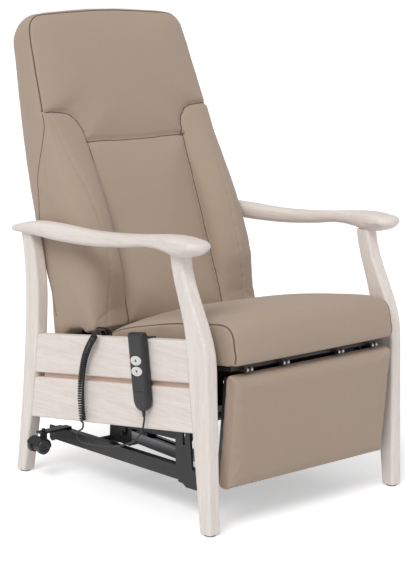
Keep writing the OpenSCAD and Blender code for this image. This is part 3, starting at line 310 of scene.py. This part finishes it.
# Limed timber: long grain stretched along the piece, darker pores in it and a faint broad figure
def makeGrainGroup():
    c = grainSet
    tree, given, result = newGroup("limedGrain", [
        ("Pale", "Color", (0.8, 0.75, 0.7, 1)), ("Dark", "Color", (0.6, 0.5, 0.4, 1)),
        ("Stretch", "Vector", (90.0, 90.0, 6.0)), ("Figure", "Float", 0.5), ("Pores", "Float", 0.3),
        ("Base Roughness", "Float", 0.45)])
    along = scaled(tree, objectPlace(tree), given["Stretch"])
    broad = cloudy(tree, along, c["broad"], 4.0, 0.55)
    rings = cloudy(tree, along, c["ring"], 3.0, 0.6)
    pores = spread(tree, cloudy(tree, scaled(tree, along, c["pore"]), 1.0, 1.5), c["poreFrom"], c["poreTo"])
    figure = plus(tree, times(tree, broad, c["broadShare"]), times(tree, rings, c["ringShare"]))
    clear = times(tree, spread(tree, figure, c["figureFrom"], c["figureTo"]), given["Figure"])
    share = plus(tree, clear, times(tree, pores, given["Pores"]), clamp=True)
    tree.links.new(blendColour(tree, share, given["Pale"], given["Dark"]), result["Color"])
    tree.links.new(minus(tree, times(tree, rings, c["ringShare"]), pores), result["Height"])
    tree.links.new(plus(tree, given["Base Roughness"], times(tree, share, c["roughShare"])), result["Roughness"])
    return tree


handledSet = {"smear": 14.0, "smearFrom": 0.4, "smearTo": 0.7, "scuff": (40.0, 160.0, 90.0), "scuffFrom": 0.56,
              "scuffTo": 0.74, "eachShare": 0.5, "roughShare": 0.35}


# Fine dust and handling marks over paint, plastic and metal
def makeHandledGroup():
    c = handledSet
    tree, given, result = newGroup("handled", [
        ("Base", "Color", (0.1, 0.1, 0.1, 1)), ("Worn", "Color", (0.2, 0.2, 0.2, 1)),
        ("Grain Scale", "Float", 900.0), ("Wear", "Float", 0.3), ("Base Roughness", "Float", 0.4)])
    place = objectPlace(tree)
    smear = cloudy(tree, place, c["smear"], 5.0, 0.65)
    grain = cloudy(tree, place, given["Grain Scale"], 2.0)
    streaks = cloudy(tree, scaled(tree, place, c["scuff"]), 1.0, 4.0, 0.7)
    scuff = spread(tree, streaks, c["scuffFrom"], c["scuffTo"])
    marks = plus(tree, times(tree, spread(tree, smear, c["smearFrom"], c["smearTo"]), c["eachShare"]),
                 times(tree, scuff, c["eachShare"]))
    share = times(tree, marks, given["Wear"], clamp=True)
    tree.links.new(blendColour(tree, share, given["Base"], given["Worn"]), result["Color"])
    tree.links.new(grain, result["Height"])
    uneven = times(tree, minus(tree, smear, 0.5), c["roughShare"])
    tree.links.new(plus(tree, given["Base Roughness"], uneven), result["Roughness"])
    return tree


groups = {"weave": makeWeaveGroup(), "grain": makeGrainGroup(), "handled": makeHandledGroup()}


def makeMaterial(name, kind, values, bump=0.2, bumpSize=0.0004, **surface):
    material = bpy.data.materials.new(name)
    material.use_nodes = True
    tree = material.node_tree
    shader = tree.nodes["Principled BSDF"]
    effect = tree.nodes.new("ShaderNodeGroup")
    effect.node_tree = groups[kind]
    for key, value in values.items():
        effect.inputs[key].default_value = value
    tree.links.new(effect.outputs["Color"], shader.inputs["Base Color"])
    tree.links.new(effect.outputs["Roughness"], shader.inputs["Roughness"])
    rise = tree.nodes.new("ShaderNodeBump")
    rise.inputs["Strength"].default_value = bump
    rise.inputs["Distance"].default_value = bumpSize
    tree.links.new(effect.outputs["Height"], rise.inputs["Height"])
    tree.links.new(rise.outputs["Normal"], shader.inputs["Normal"])
    for key, value in surface.items():
        shader.inputs[key.replace("_", " ")].default_value = value
    material.diffuse_color = next(v for k, v in values.items() if k in ("Lit", "Pale", "Base"))
    return material


def cloth(name, lit, shade):
    return makeMaterial(name, "weave", {"Lit": tint(*lit), "Shade": tint(*shade)}, bump=0.35, bumpSize=0.0003,
                        Sheen_Weight=0.18, Sheen_Roughness=0.5, Specular_IOR_Level=0.3)


def timber(name, stretch, pale=(236, 228, 222), dark=(217, 204, 196), figure=0.5):
    values = {"Pale": tint(*pale), "Dark": tint(*dark), "Stretch": stretch, "Figure": figure}
    return makeMaterial(name, "grain", values, bump=0.12, bumpSize=0.0004, Coat_Weight=0.15, Coat_Roughness=0.35)


def plainFinish(name, base, worn, rough=0.4, wear=0.3, grain=900.0, bump=0.1, **surface):
    values = {"Base": tint(*base), "Worn": tint(*worn), "Grain Scale": grain, "Wear": wear, "Base Roughness": rough}
    return makeMaterial(name, "handled", values, bump=bump, bumpSize=0.0002, **surface)


paint = {
    "cloth": cloth("taupeCloth", (184, 166, 149), (163, 144, 127)),
    # the piping is the cover's own cloth, painted darker for the shade along its seams
    "piping": cloth("pipingSeamShadeCloth", (126, 106, 90), (98, 80, 66)),
    "woodUp": timber("limedBeechUpright", (150.0, 150.0, 8.0)),
    "woodAlong": timber("limedBeechLengthwise", (150.0, 8.0, 130.0)),
    "woodAcross": timber("limedBeechCrosswise", (8.0, 150.0, 130.0)),
    # darker brown than the rails: painted shade inside the groove between them
    "grooveShadeWood": timber("grooveShadeBeech", (150.0, 8.0, 130.0), (196, 168, 148), (172, 142, 122)),
    "ply": timber("rawPly", (9.0, 60.0, 130.0), (196, 166, 128), (150, 116, 80), 0.9),
    # near-black ply on the seat and leg rest boards: painted shade for the dark gap between seat and leg rest
    "gapShadePly": timber("gapShadeDarkPly", (9.0, 60.0, 130.0), (52, 45, 40), (34, 30, 27), 0.8),
    "blackSteel": plainFinish("satinBlackSteel", (25, 25, 27), (56, 55, 56), 0.42),
    "zinc": plainFinish("zincPlate", (172, 172, 176), (120, 120, 124), 0.32, 0.5, Metallic=1.0),
    "alloy": plainFinish("drawnAlloy", (150, 151, 155), (110, 110, 114), 0.38, 0.5, Metallic=1.0),
    "blackPlastic": plainFinish("mouldedBlack", (30, 30, 32), (58, 58, 60), 0.5, 0.3, 1400.0, 0.25),
    "handset": plainFinish("handsetGrey", (40, 40, 43), (60, 60, 63), 0.46, 0.25, 1600.0, 0.3),
    "button": plainFinish("buttonWhite", (222, 222, 218), (196, 196, 190), 0.3),
    "mark": plainFinish("buttonMark", (62, 62, 66), (82, 82, 84), 0.5, 0.2),
    "board": plainFinish("circuitGreen", (32, 92, 56), (24, 66, 40), 0.35, 0.4),
    "cord": plainFinish("cordGrey", (30, 30, 33), (52, 52, 55), 0.38),
    "wheel": plainFinish("wheelGrey", (44, 44, 47), (72, 72, 75), 0.45, 0.35),
    "glide": plainFinish("glideBrown", (64, 58, 54), (88, 82, 77), 0.5, 0.4),
}
cord.data.materials.append(paint["cord"])
print("materials made")


def bothSides(*names):
    return [name + side for name in names for side in ("_right", "_left")]


finishes = {
    "woodAlong": bothSides("upper_rail", "lower_rail", "armrest"),
    "woodUp": bothSides("front_leg", "rear_leg"),
    "woodAcross": ["rear_crossrail"],
    "ply": ["back_board"],
    # the seat and leg rest boards carry the painted gap shade
    "gapShadePly": ["seat_board", "legrest_board"],
    "blackSteel": bothSides("mechanism_side") + [
        "mechanism_tubes", "back_hinge_plates", "back_lever", "legrest_hinges", "drive_hangers", "drive_bar",
        "chassis_beams", "chassis_posts", "chassis_tubes", "lift_arms_upper", "lift_arms_lower"],
    "zinc": ["frame_bolts", "pivot_bolts", "drive_spindle", "legrest_brackets"],
    "alloy": ["drive_rail"],
    "blackPlastic": bothSides("caster_fork") + ["gear_housing", "drive_motor", "control_box", "cord_gland",
                                                "handset_hook"],
    "handset": ["handset_front", "handset_back", "cord_relief"],
    "button": ["button_up", "button_down"],
    "board": ["handset_board"],
    "wheel": bothSides("caster_wheels"),
    "glide": ["leg_glides"],
    "cloth": bothSides("bolster") + ["seat_cushion", "back_panel", "head_cushion", "lumbar_cushion", "legrest_pad"],
}
for finish, names in finishes.items():
    for name in names:
        nodes[name].data.materials.clear()
        nodes[name].data.materials.append(paint[finish])


# Meshes
def meshPiece(name, points, faces, material, smooth=True):
    mesh = bpy.data.meshes.new(name)
    mesh.from_pydata([tuple(p) for p in points], [], faces)
    mesh.validate()
    if smooth:
        mesh.polygons.foreach_set("use_smooth", [True] * len(mesh.polygons))
    mesh.materials.append(material)
    piece = bpy.data.objects.new(name, mesh)
    scene.collection.objects.link(piece)
    return piece


def mergedCopy(name, *sources):
    joined = bmesh.new()
    for source in sources:
        joined.from_mesh(nodes[source].data)
    bmesh.ops.remove_doubles(joined, verts=joined.verts, dist=1e-6)
    bmesh.ops.recalc_face_normals(joined, faces=joined.faces)
    mesh = bpy.data.meshes.new(name)
    joined.to_mesh(mesh)
    joined.free()
    piece = bpy.data.objects.new(name, mesh)
    scene.collection.objects.link(piece)
    return piece


def evaluated(piece):         # the piece's own mesh, with its modifiers worked in and taken off
    view = bpy.context.evaluated_depsgraph_get()
    mesh = bpy.data.meshes.new_from_object(piece.evaluated_get(view), depsgraph=view)
    old = piece.data
    piece.modifiers.clear()
    piece.data = mesh
    name = piece.name
    bpy.data.meshes.remove(old)
    mesh.name = name
    return piece


def remeshed(piece, given):
    step = piece.modifiers.new("even", "REMESH")
    step.mode = "VOXEL"
    step.voxel_size = given["voxel"]
    step.use_smooth_shade = True
    relaxing = piece.modifiers.new("relax", "SMOOTH")
    relaxing.factor = 0.5
    relaxing.iterations = given["relax"]
    return evaluated(piece)


def treeOf(piece):
    mesh = piece.data
    return BVHTree.FromPolygons([v.co for v in mesh.vertices], [p.vertices for p in mesh.polygons])


def treeAlong(points):
    near = KDTree(max(1, len(points)))
    for k, p in enumerate(points):
        near.insert(p, k)
    near.balance()
    return near


def tube(name, line, radius, sides, material):
    points, faces = [], []
    last = len(line) - 1

    def tangent(k):
        return (line[min(last, k + 1)] - line[max(0, k - 1)]).normalized()
    u = Vector((1, 0, 0)) if abs(tangent(0).x) < 0.8 else Vector((0, 0, 1))
    for k in range(last + 1):
        t = tangent(k)
        u = (u - u.dot(t) * t).normalized()
        w = t.cross(u)
        for j in range(sides):
            a = 2 * math.pi * j / sides
            points.append(line[k] + radius * (math.cos(a) * u + math.sin(a) * w))
    for k in range(last):
        here, there = k * sides, (k + 1) * sides
        for j in range(sides):
            m = (j + 1) % sides
            faces.append((here + j, here + m, there + m, there + j))
    faces.append(tuple(reversed(range(sides))))
    faces.append(tuple(last * sides + j for j in range(sides)))
    return meshPiece(name, points, faces, material)


# Upholstery
def evenLine(points, step=0.004):
    dense = spline(points, 12)
    out, left = [dense[0]], step
    for a, b in zip(dense, dense[1:]):
        span = (b - a).length
        while left <= span:
            out.append(a.lerp(b, left / span))
            left += step
        left -= span
    out.append(dense[-1])
    return out


def laidOn(tree, line, sink=0.0, passes=2):
    out = []
    for p in line:
        spot, normal, _, _ = tree.find_nearest(p)
        out.append(spot - sink * normal)
    for _ in range(passes):
        out = [out[0]] + [(a + 2 * b + c) / 4 for a, b, c in zip(out, out[1:], out[2:])] + [out[-1]]
    return out


clothSet = {"quality": 4, "mass": 0.25, "stretch": 7, "shear": 4, "bend": 1.2, "frames": 20, "pinReach": 0.006}


def soften(piece, given, pinned, limit=None, fixed=None):     # the cover swells under pressure, held at its seams
    mesh = piece.data
    home = [v.co.copy() for v in mesh.vertices]
    outward = [v.normal.copy() for v in mesh.vertices]
    for v, h, normal in zip(mesh.vertices, home, outward):
        v.co = h - normal * given["shrink"]
    pins = piece.vertex_groups.new(name="pins")
    near = treeAlong(pinned)
    for k, h in enumerate(home):
        if fixed and fixed(h) or pinned and near.find(h)[2] < clothSet["pinReach"]:
            pins.add([k], 1.0, "REPLACE")
    step = piece.modifiers.new("cloth", "CLOTH")
    rules = step.settings
    rules.quality = clothSet["quality"]
    rules.mass = clothSet["mass"]
    rules.tension_stiffness = rules.compression_stiffness = clothSet["stretch"]
    rules.shear_stiffness = clothSet["shear"]
    rules.bending_stiffness = clothSet["bend"]
    rules.use_pressure = True
    rules.uniform_pressure_force = given["pressure"]
    rules.vertex_group_mass = "pins"
    rules.effector_weights.gravity = 0
    step.point_cache.frame_start = 1
    step.point_cache.frame_end = clothSet["frames"]
    for frameNumber in range(1, clothSet["frames"] + 1):
        scene.frame_set(frameNumber)
    view = bpy.context.evaluated_depsgraph_get()
    moved = piece.evaluated_get(view).to_mesh()
    places = [v.co.copy() for v in moved.vertices]
    piece.evaluated_get(view).to_mesh_clear()
    piece.modifiers.clear()
    scene.frame_set(1)
    cap = given["cap"]
    for v, place in zip(mesh.vertices, places):
        go = place - v.co
        far = go.length
        if far > 1e-9:
            go *= cap * math.tanh(far / cap) / far
        spot = v.co + go
        v.co = limit(spot) if limit else spot
    piece.vertex_groups.clear()


def subdivided(piece):
    step = piece.modifiers.new("finer", "SUBSURF")
    step.levels = step.render_levels = 1
    step.boundary_smooth = "PRESERVE_CORNERS"
    return evaluated(piece)


foldSet = {"beat": 0.9, "stray": 2.5, "grain": 45, "reach": 3}


def pressSeams(piece, seams):     # each seam: its line, how deep and wide its crease is, and how much it puckers
    for line, depth, width, pucker in seams:
        near = treeAlong(line)
        reach = width * foldSet["reach"]
        low = Vector(map(min, *line)) - Vector((reach,) * 3)
        high = Vector(map(max, *line)) + Vector((reach,) * 3)
        outward = [v.normal.copy() for v in piece.data.vertices]
        for v, normal in zip(piece.data.vertices, outward):
            c = v.co
            if not (low.x < c.x < high.x and low.y < c.y < high.y and low.z < c.z < high.z):
                continue
            _, k, far = near.find(c)
            if far < reach:
                fall = math.exp(-(far / width) ** 2)
                beat = math.sin(k * foldSet["beat"] + foldSet["stray"] * noise.noise(c * foldSet["grain"]))
                fold = pucker * beat * math.exp(-((far - width) / width) ** 2)
                v.co = c - normal * (depth * fall - fold)


def finishCover(piece, body, stands):
    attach(piece, body)
    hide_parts(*stands)
    print("%s: %d faces" % (piece.name, len(piece.data.polygons)))


def makeWelt(name, line, radius, body):
    # the welt takes the piping cloth, painted darker for seam shade
    welt = tube(name, line[::2], radius, 8, paint["piping"])
    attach(welt, body)


def ease(t):
    t = min(1.0, max(0.0, t))
    return t * t * (3 - 2 * t)


# The back: outline in millimetres, the rest in metres
backSet = {"half": 281, "waist": 100, "topIn": 31, "topInRun": 600, "footIn": 5, "footInRun": 200,
           "depth": 150, "taper": 61, "taperFrom": 200, "taperRun": 500,
           "voxel": 0.0062, "relax": 5, "shrink": 0.0008, "pressure": 4.0, "cap": 0.006,
           "sideSwell": 0.011, "topRise": 0.009, "rearSwell": 0.009, "footDepth": 0.045, "footDrop": 0.0003,
           "room": 0.2832, "topRoom": 0.014, "topFrom": 0.69, "topRun": 0.12}
panelHalf, headFoot = 155.6, 370      # half the middle panel's width, and the head cushion's lower seam
# How deep and wide each seam's crease is and how much it puckers, and the radius of its piping
creases = {"brow": (0.0022, 0.0045, 0.0), "head": (0.0045, 0.006, 0.0), "arc": (0.0042, 0.0055, 0.0002),
           "inner": (0.0042, 0.0055, 0.0), "crest": (0.0016, 0.004, 0.0005), "shell": (0.0016, 0.004, 0.0)}
welts = {"brow": 0.0022, "head": 0.0016, "arc": 0.0018, "inner": 0.0014, "shell": 0.0013}


def halfWidth(v):             # half the back's width at a height, widest at its waist
    c = backSet
    if v > c["waist"]:
        return c["half"] - c["topIn"] * ((v - c["waist"]) / c["topInRun"]) ** 2
    return c["half"] - c["footIn"] * ((c["waist"] - v) / c["footInRun"]) ** 2


def backSeams():
    top = [(halfWidth(v) - 1.5, 13, v) for v in (452, 480, 520, 560, 600, 640)]
    corner = [(halfWidth(660) - 50 + 49 * math.cos(a), 11, 654 + 50 * math.sin(a))
              for a in map(math.radians, (10, 28, 46, 64, 82))]
    side = top + corner + [(150, 10, 707), (75, 10, 711)]
    lines = {"brow": [(-x, y, v) for x, y, v in side] + [(0, 10, 713)] + list(reversed(side))}
    lines["head"] = [(x, y, headFoot) for x, y in ((-panelHalf, 2), (-110, -3), (-50, -6), (0, -7), (50, -6),
                                                   (110, -3), (panelHalf, 2))]
    arc = [(panelHalf + 60 * (1 - math.sqrt(1 - t * t)), 4, headFoot + 77 * t)
           for t in (0, 0.26, 0.5, 0.7, 0.85, 0.95)]
    arc += [(218, 6, 447), (235, 8, 448), (halfWidth(449) - 6, 12, 449)]
    inner = [(panelHalf, 4, v) for v in (headFoot, 300, 220, 140, 60, -20, -80, -108)]
    crest = [(halfWidth(449) - 8, 8, 446), (247, -4, 405), (243, -18, 360), (236, -30, 303), (226, -38, 252),
             (217, -44, 160), (213, -46, 97), (216, -40, 20), (222, -22, -26), (226, 0, -70), (228, 12, -100)]
    shell = [(halfWidth(440), 13, 447)]
    shell += [(halfWidth(v), y, v) for y, v in ((17, 406), (57, 326), (89, 247), (115, 184), (130, 120), (136, 40),
                                                (138, -40))]
    for name, points in (("arc", arc), ("inner", inner), ("crest", crest), ("shell", shell)):
        lines[name + "Left"] = points
        lines[name + "Right"] = [(-x, y, v) for x, y, v in points]
    return {name: evenLine([backPoint(*p) for p in points]) for name, points in lines.items()}


# The shell swells between its piped edges, its top rises and its foot runs down and back. Each ease
# has the depth or height, in millimetres, where a move starts and the run over which it grows.
def fillOut(piece):
    c = backSet
    across = Vector((0, math.cos(lean), -math.sin(lean)))
    along = Vector((0, math.sin(lean), math.cos(lean)))
    base = backPoint(0, 0, 0)
    outward = [v.normal.copy() for v in piece.data.vertices]
    for v, normal in zip(piece.data.vertices, outward):
        local = v.co - base
        y, up = local.dot(across) * 1000, local.dot(along) * 1000
        deep = c["depth"] - c["taper"] * max(0, up - c["taperFrom"]) / c["taperRun"]
        between = ease(1 - abs(y / deep - 0.5) / 0.5) * ease((up - 150) / 150)
        move = normal * c["sideSwell"] * between * (1 - abs(normal.dot(across)))
        move += along * c["topRise"] * ease((up - 560) / 150) * ease((y + 4) / 30)
        move += across * c["rearSwell"] * ease((y - 50) / 40) * ease((up - 100) / 300)
        move += across * c["footDepth"] * ease((y - 60) / 60) * ease((30 - up) / 130)
        move -= along * c["footDrop"] * y * ease((y - 84) / 26) * ease((10 - up) / 80)
        v.co = v.co + move


def seamKind(name):
    return name.replace("Left", "").replace("Right", "")


def makeBack():
    c = backSet
    stands = ["back_panel", "head_cushion", "lumbar_cushion", "bolster_right", "bolster_left"]
    piece = mergedCopy("backCover", "back_board", *stands)
    remeshed(piece, c)
    fillOut(piece)
    tree = treeOf(piece)
    seams = {name: laidOn(tree, line) for name, line in backSeams().items()}
    pinned = [p for name in seams for p in seams[name][::2] if seamKind(name) != "crest"]

    def limit(p):
        room = c["room"] + c["topRoom"] * ease((p.z - c["topFrom"]) / c["topRun"])
        p.x = max(-room, min(room, p.x))
        return p
    lowLine = backPoint(0, 60, -70).z
    soften(piece, c, pinned, limit, lambda p: p.z < lowLine)
    subdivided(piece)
    piece.data.materials.append(paint["cloth"])
    tree = treeOf(piece)
    seams = {name: laidOn(tree, line, passes=4) for name, line in seams.items()}
    pressSeams(piece, [(line, *creases[seamKind(name)]) for name, line in seams.items()])
    finishCover(piece, "back", stands)
    tree = treeOf(piece)
    for name, line in seams.items():
        radius = welts.get(seamKind(name))
        if radius:
            makeWelt("backPiping." + name, laidOn(tree, line, sink=radius * 0.25, passes=1), radius, "back")


seatSet = {"voxel": 0.0055, "relax": 4, "shrink": 0.0006, "pressure": 3.5, "cap": 0.005, "room": 0.2605,
           "onBoard": 0.003, "seamOut": 257.5, "crease": (0.002, 0.0045, 0.0), "welt": 0.0022, "sink": 0.0006}


def makeSeat():
    c = seatSet
    piece = mergedCopy("seatCover", "seat_cushion")
    remeshed(piece, c)
    tree = treeOf(piece)
    sideLine = [(3, 5), (1.5, 30), (2, 58), (4, 76), (13, 88.5), (38, 96.5), (77, 98), (130, 98), (180, 97),
                (250, 95), (322, 91), (397, 82), (440, 71), (462, 61)]
    seams = {}
    for name, side in (("Right", -1), ("Left", 1)):
        seams[name] = laidOn(tree, evenLine([seatPoint(side * c["seamOut"], y, z) for y, z in sideLine]))

    def limit(p):
        p.x = max(-c["room"], min(c["room"], p.x))
        return p

    def fixed(p):             # the under side lies on the board
        local = p - seatPoint(0, 0, 0)
        return local.dot(Vector((0, math.sin(rake), math.cos(rake)))) < c["onBoard"]
    soften(piece, c, [p for line in seams.values() for p in line[::2]], limit, fixed)
    subdivided(piece)
    piece.data.materials.append(paint["cloth"])
    tree = treeOf(piece)
    seams = {name: laidOn(tree, line, passes=4) for name, line in seams.items()}
    pressSeams(piece, [(line, *c["crease"]) for line in seams.values()])
    finishCover(piece, "frame", ["seat_cushion"])
    tree = treeOf(piece)
    for name, line in seams.items():
        makeWelt("seatPiping." + name, laidOn(tree, line, sink=c["sink"], passes=1), c["welt"], "frame")


padSet = {"voxel": 0.005, "relax": 3, "shrink": 0.0005, "pressure": 3.0, "cap": 0.0035, "widen": 1.0145,
          "depth": 34, "onBoard": 0.004}


def makeLegPad():
    c = padSet
    piece = mergedCopy("legrestCover", "legrest_pad")
    for v in piece.data.vertices:
        v.co.x *= c["widen"]
    remeshed(piece, c)

    def fixed(p):             # the rear side lies on the board
        local = p - legPoint(0, c["depth"], 0)
        return local.dot(Vector((0, math.cos(hang), math.sin(hang)))) > -c["onBoard"]
    soften(piece, c, [], None, fixed)
    subdivided(piece)
    piece.data.materials.append(paint["cloth"])
    finishCover(piece, "leg_rest", ["legrest_pad"])


makeBack()
makeSeat()
makeLegPad()


# Woodwork: the armrests also lie a little lower, and their rear ends farther back
woodSet = {"voxel": 0.0024, "relax": 4, "armDrop": 0.0035, "armBack": 0.009, "backFrom": 0.11, "backRun": 0.09}


def sanded(name, node, material):
    c = woodSet
    piece = mergedCopy(name, node)
    if node.startswith("armrest"):
        for v in piece.data.vertices:
            v.co.z -= c["armDrop"]
            v.co.y += c["armBack"] * ease((c["backFrom"] - (v.co.y + midY)) / c["backRun"])
    remeshed(piece, c)
    piece.data.materials.append(material)
    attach(piece, "frame")
    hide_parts(node)


for side in ("right", "left"):
    sanded("armrestWood." + side, "armrest_" + side, paint["woodAlong"])
    sanded("frontLegWood." + side, "front_leg_" + side, paint["woodUp"])
    sanded("rearLegWood." + side, "rear_leg_" + side, paint["woodUp"])
print("woodwork smoothed")


# A pressed plate under the seat board, notched over the drive bar
plateSet = {"along": 122, "top": -12.2, "deep": 88, "thick": 4, "half": 244, "notchAt": -185, "notchHalf": 8,
            "notchTop": 56}


def makeCrossPlate():
    c = plateSet
    left, right = c["notchAt"] - c["notchHalf"], c["notchAt"] + c["notchHalf"]
    top = c["top"]
    low = top - c["deep"]
    notch = low + c["notchTop"]
    outline = [(-c["half"], low), (left, low), (left, notch), (right, notch), (right, low),
               (c["half"], low), (c["half"], top), (right, top), (left, top), (-c["half"], top)]
    n = len(outline)
    points = [seatPoint(x, c["along"] + t, z) for t in (0, c["thick"]) for x, z in outline]
    front = [(0, 1, 8, 9), (1, 2, 8), (2, 3, 7, 8), (3, 4, 7), (4, 5, 6, 7)]
    faces = front + [tuple(n + i for i in reversed(f)) for f in front]
    faces += [((k + 1) % n, k, n + k, n + (k + 1) % n) for k in range(n)]
    plate = meshPiece("frontCrossPlate", points, faces, paint["blackSteel"], smooth=False)
    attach(plate, "frame")


# A plain arrow on each button
markSet = {"half": 0.0042, "tall": 0.004, "sunk": 0.0003, "proud": 0.0004}


def makeButtonMarks():
    c = markSet
    for name, way in (("button_up", 1), ("button_down", -1)):
        low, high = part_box(name)
        mid = (Vector(low) + Vector(high)) / 2
        points = [Vector((low[0] + d, mid.y + y * c["half"], mid.z + way * z * c["tall"]))
                  for d in (-c["sunk"], c["proud"]) for y, z in ((-1, -0.6), (1, -0.6), (0, 1.0))]
        faces = [(0, 1, 2), (5, 4, 3), (0, 3, 4, 1), (1, 4, 5, 2), (2, 5, 3, 0)]
        mark = meshPiece(name + ".mark", points, faces, paint["mark"], smooth=False)
        shape = bmesh.new()
        shape.from_mesh(mark.data)
        bmesh.ops.recalc_face_normals(shape, faces=shape.faces)
        shape.to_mesh(mark.data)
        shape.free()
        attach(mark, name)


# A fillet strip set back between the two rails of each side, painted a darker brown for the shade inside the groove
stripSet = {"from": 101, "to": 662, "low": -42.8, "top": -31.2, "out": 309, "thick": 8}


def makeRailStrips():
    c = stripSet
    for name, side in (("Right", -1), ("Left", 1)):
        points = [seatPoint(side * x, y, z) for x in (c["out"] - c["thick"], c["out"])
                  for y in (c["from"], c["to"]) for z in (c["low"], c["top"])]
        faces = [(0, 1, 3, 2), (4, 6, 7, 5), (0, 4, 5, 1), (2, 3, 7, 6), (0, 2, 6, 4), (1, 5, 7, 3)]
        if side < 0:
            faces = [tuple(reversed(f)) for f in faces]
        strip = meshPiece("railStrip" + name, points, faces, paint["grooveShadeWood"], smooth=False)
        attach(strip, "frame")


makeCrossPlate()
makeButtonMarks()
makeRailStrips()
print("plate, marks and strips made")


# Floor, light and air. Each lamp: power, then its angle, turn and slope in degrees
roomSet = {"floor": 60.0, "air": 0.52, "glow": 0.42, "keyLight": (1.55, 28, -62, 42), "fillLight": (0.12, 60, 28, 62)}


def anyOf(tree, *values):
    seen = values[0]
    for value in values[1:]:
        seen = calc(tree, "MAXIMUM", seen, value)
    return seen


def makeFloor():
    material = bpy.data.materials.new("paleFloor")
    material.use_nodes = True
    tree = material.node_tree
    shader = tree.nodes["Principled BSDF"]
    shader.inputs["Base Color"].default_value = (0.86, 0.86, 0.87, 1)
    shader.inputs["Roughness"].default_value = 0.9
    shader.inputs["Specular IOR Level"].default_value = 0.1
    shader.inputs["Emission Color"].default_value = (1, 1, 1, 1)
    rays = tree.nodes.new("ShaderNodeLightPath").outputs
    seen = anyOf(tree, rays["Is Camera Ray"], rays["Is Glossy Ray"], rays["Is Transmission Ray"])
    tree.links.new(times(tree, seen, roomSet["glow"]), shader.inputs["Emission Strength"])
    h = roomSet["floor"] / 2
    meshPiece("floor", [(-h, -h, 0), (h, -h, 0), (h, h, 0), (-h, h, 0)], [(0, 1, 2, 3)], material,
                       smooth=False)


def makeAir():                # soft light from all sides, and plain white behind the chair
    world = bpy.data.worlds.new("air")
    scene.world = world
    world.use_nodes = True
    tree = world.node_tree
    tree.nodes.clear()
    out = tree.nodes.new("ShaderNodeOutputWorld")
    mix = tree.nodes.new("ShaderNodeMixShader")
    for k, (colour, power) in enumerate((((1.0, 0.99, 0.98, 1), roomSet["air"]), ((1, 1, 1, 1), 1.0))):
        light = tree.nodes.new("ShaderNodeBackground")
        light.inputs["Color"].default_value = colour
        light.inputs["Strength"].default_value = power
        tree.links.new(light.outputs[0], mix.inputs[k + 1])
    rays = tree.nodes.new("ShaderNodeLightPath").outputs
    tree.links.new(anyOf(tree, rays["Is Camera Ray"], rays["Is Transmission Ray"]), mix.inputs[0])
    tree.links.new(mix.outputs[0], out.inputs[0])


def makeLamps():
    for name in ("keyLight", "fillLight"):
        power, angle, turn, slope = roomSet[name]
        data = bpy.data.lights.new(name, "SUN")
        data.energy = power
        data.angle = math.radians(angle)
        lamp = bpy.data.objects.new(name, data)
        scene.collection.objects.link(lamp)
        lamp.rotation_euler = (math.radians(slope), 0, math.radians(turn))


makeFloor()
makeAir()
makeLamps()
scene.view_settings.view_transform = "Standard"
print("room lit")
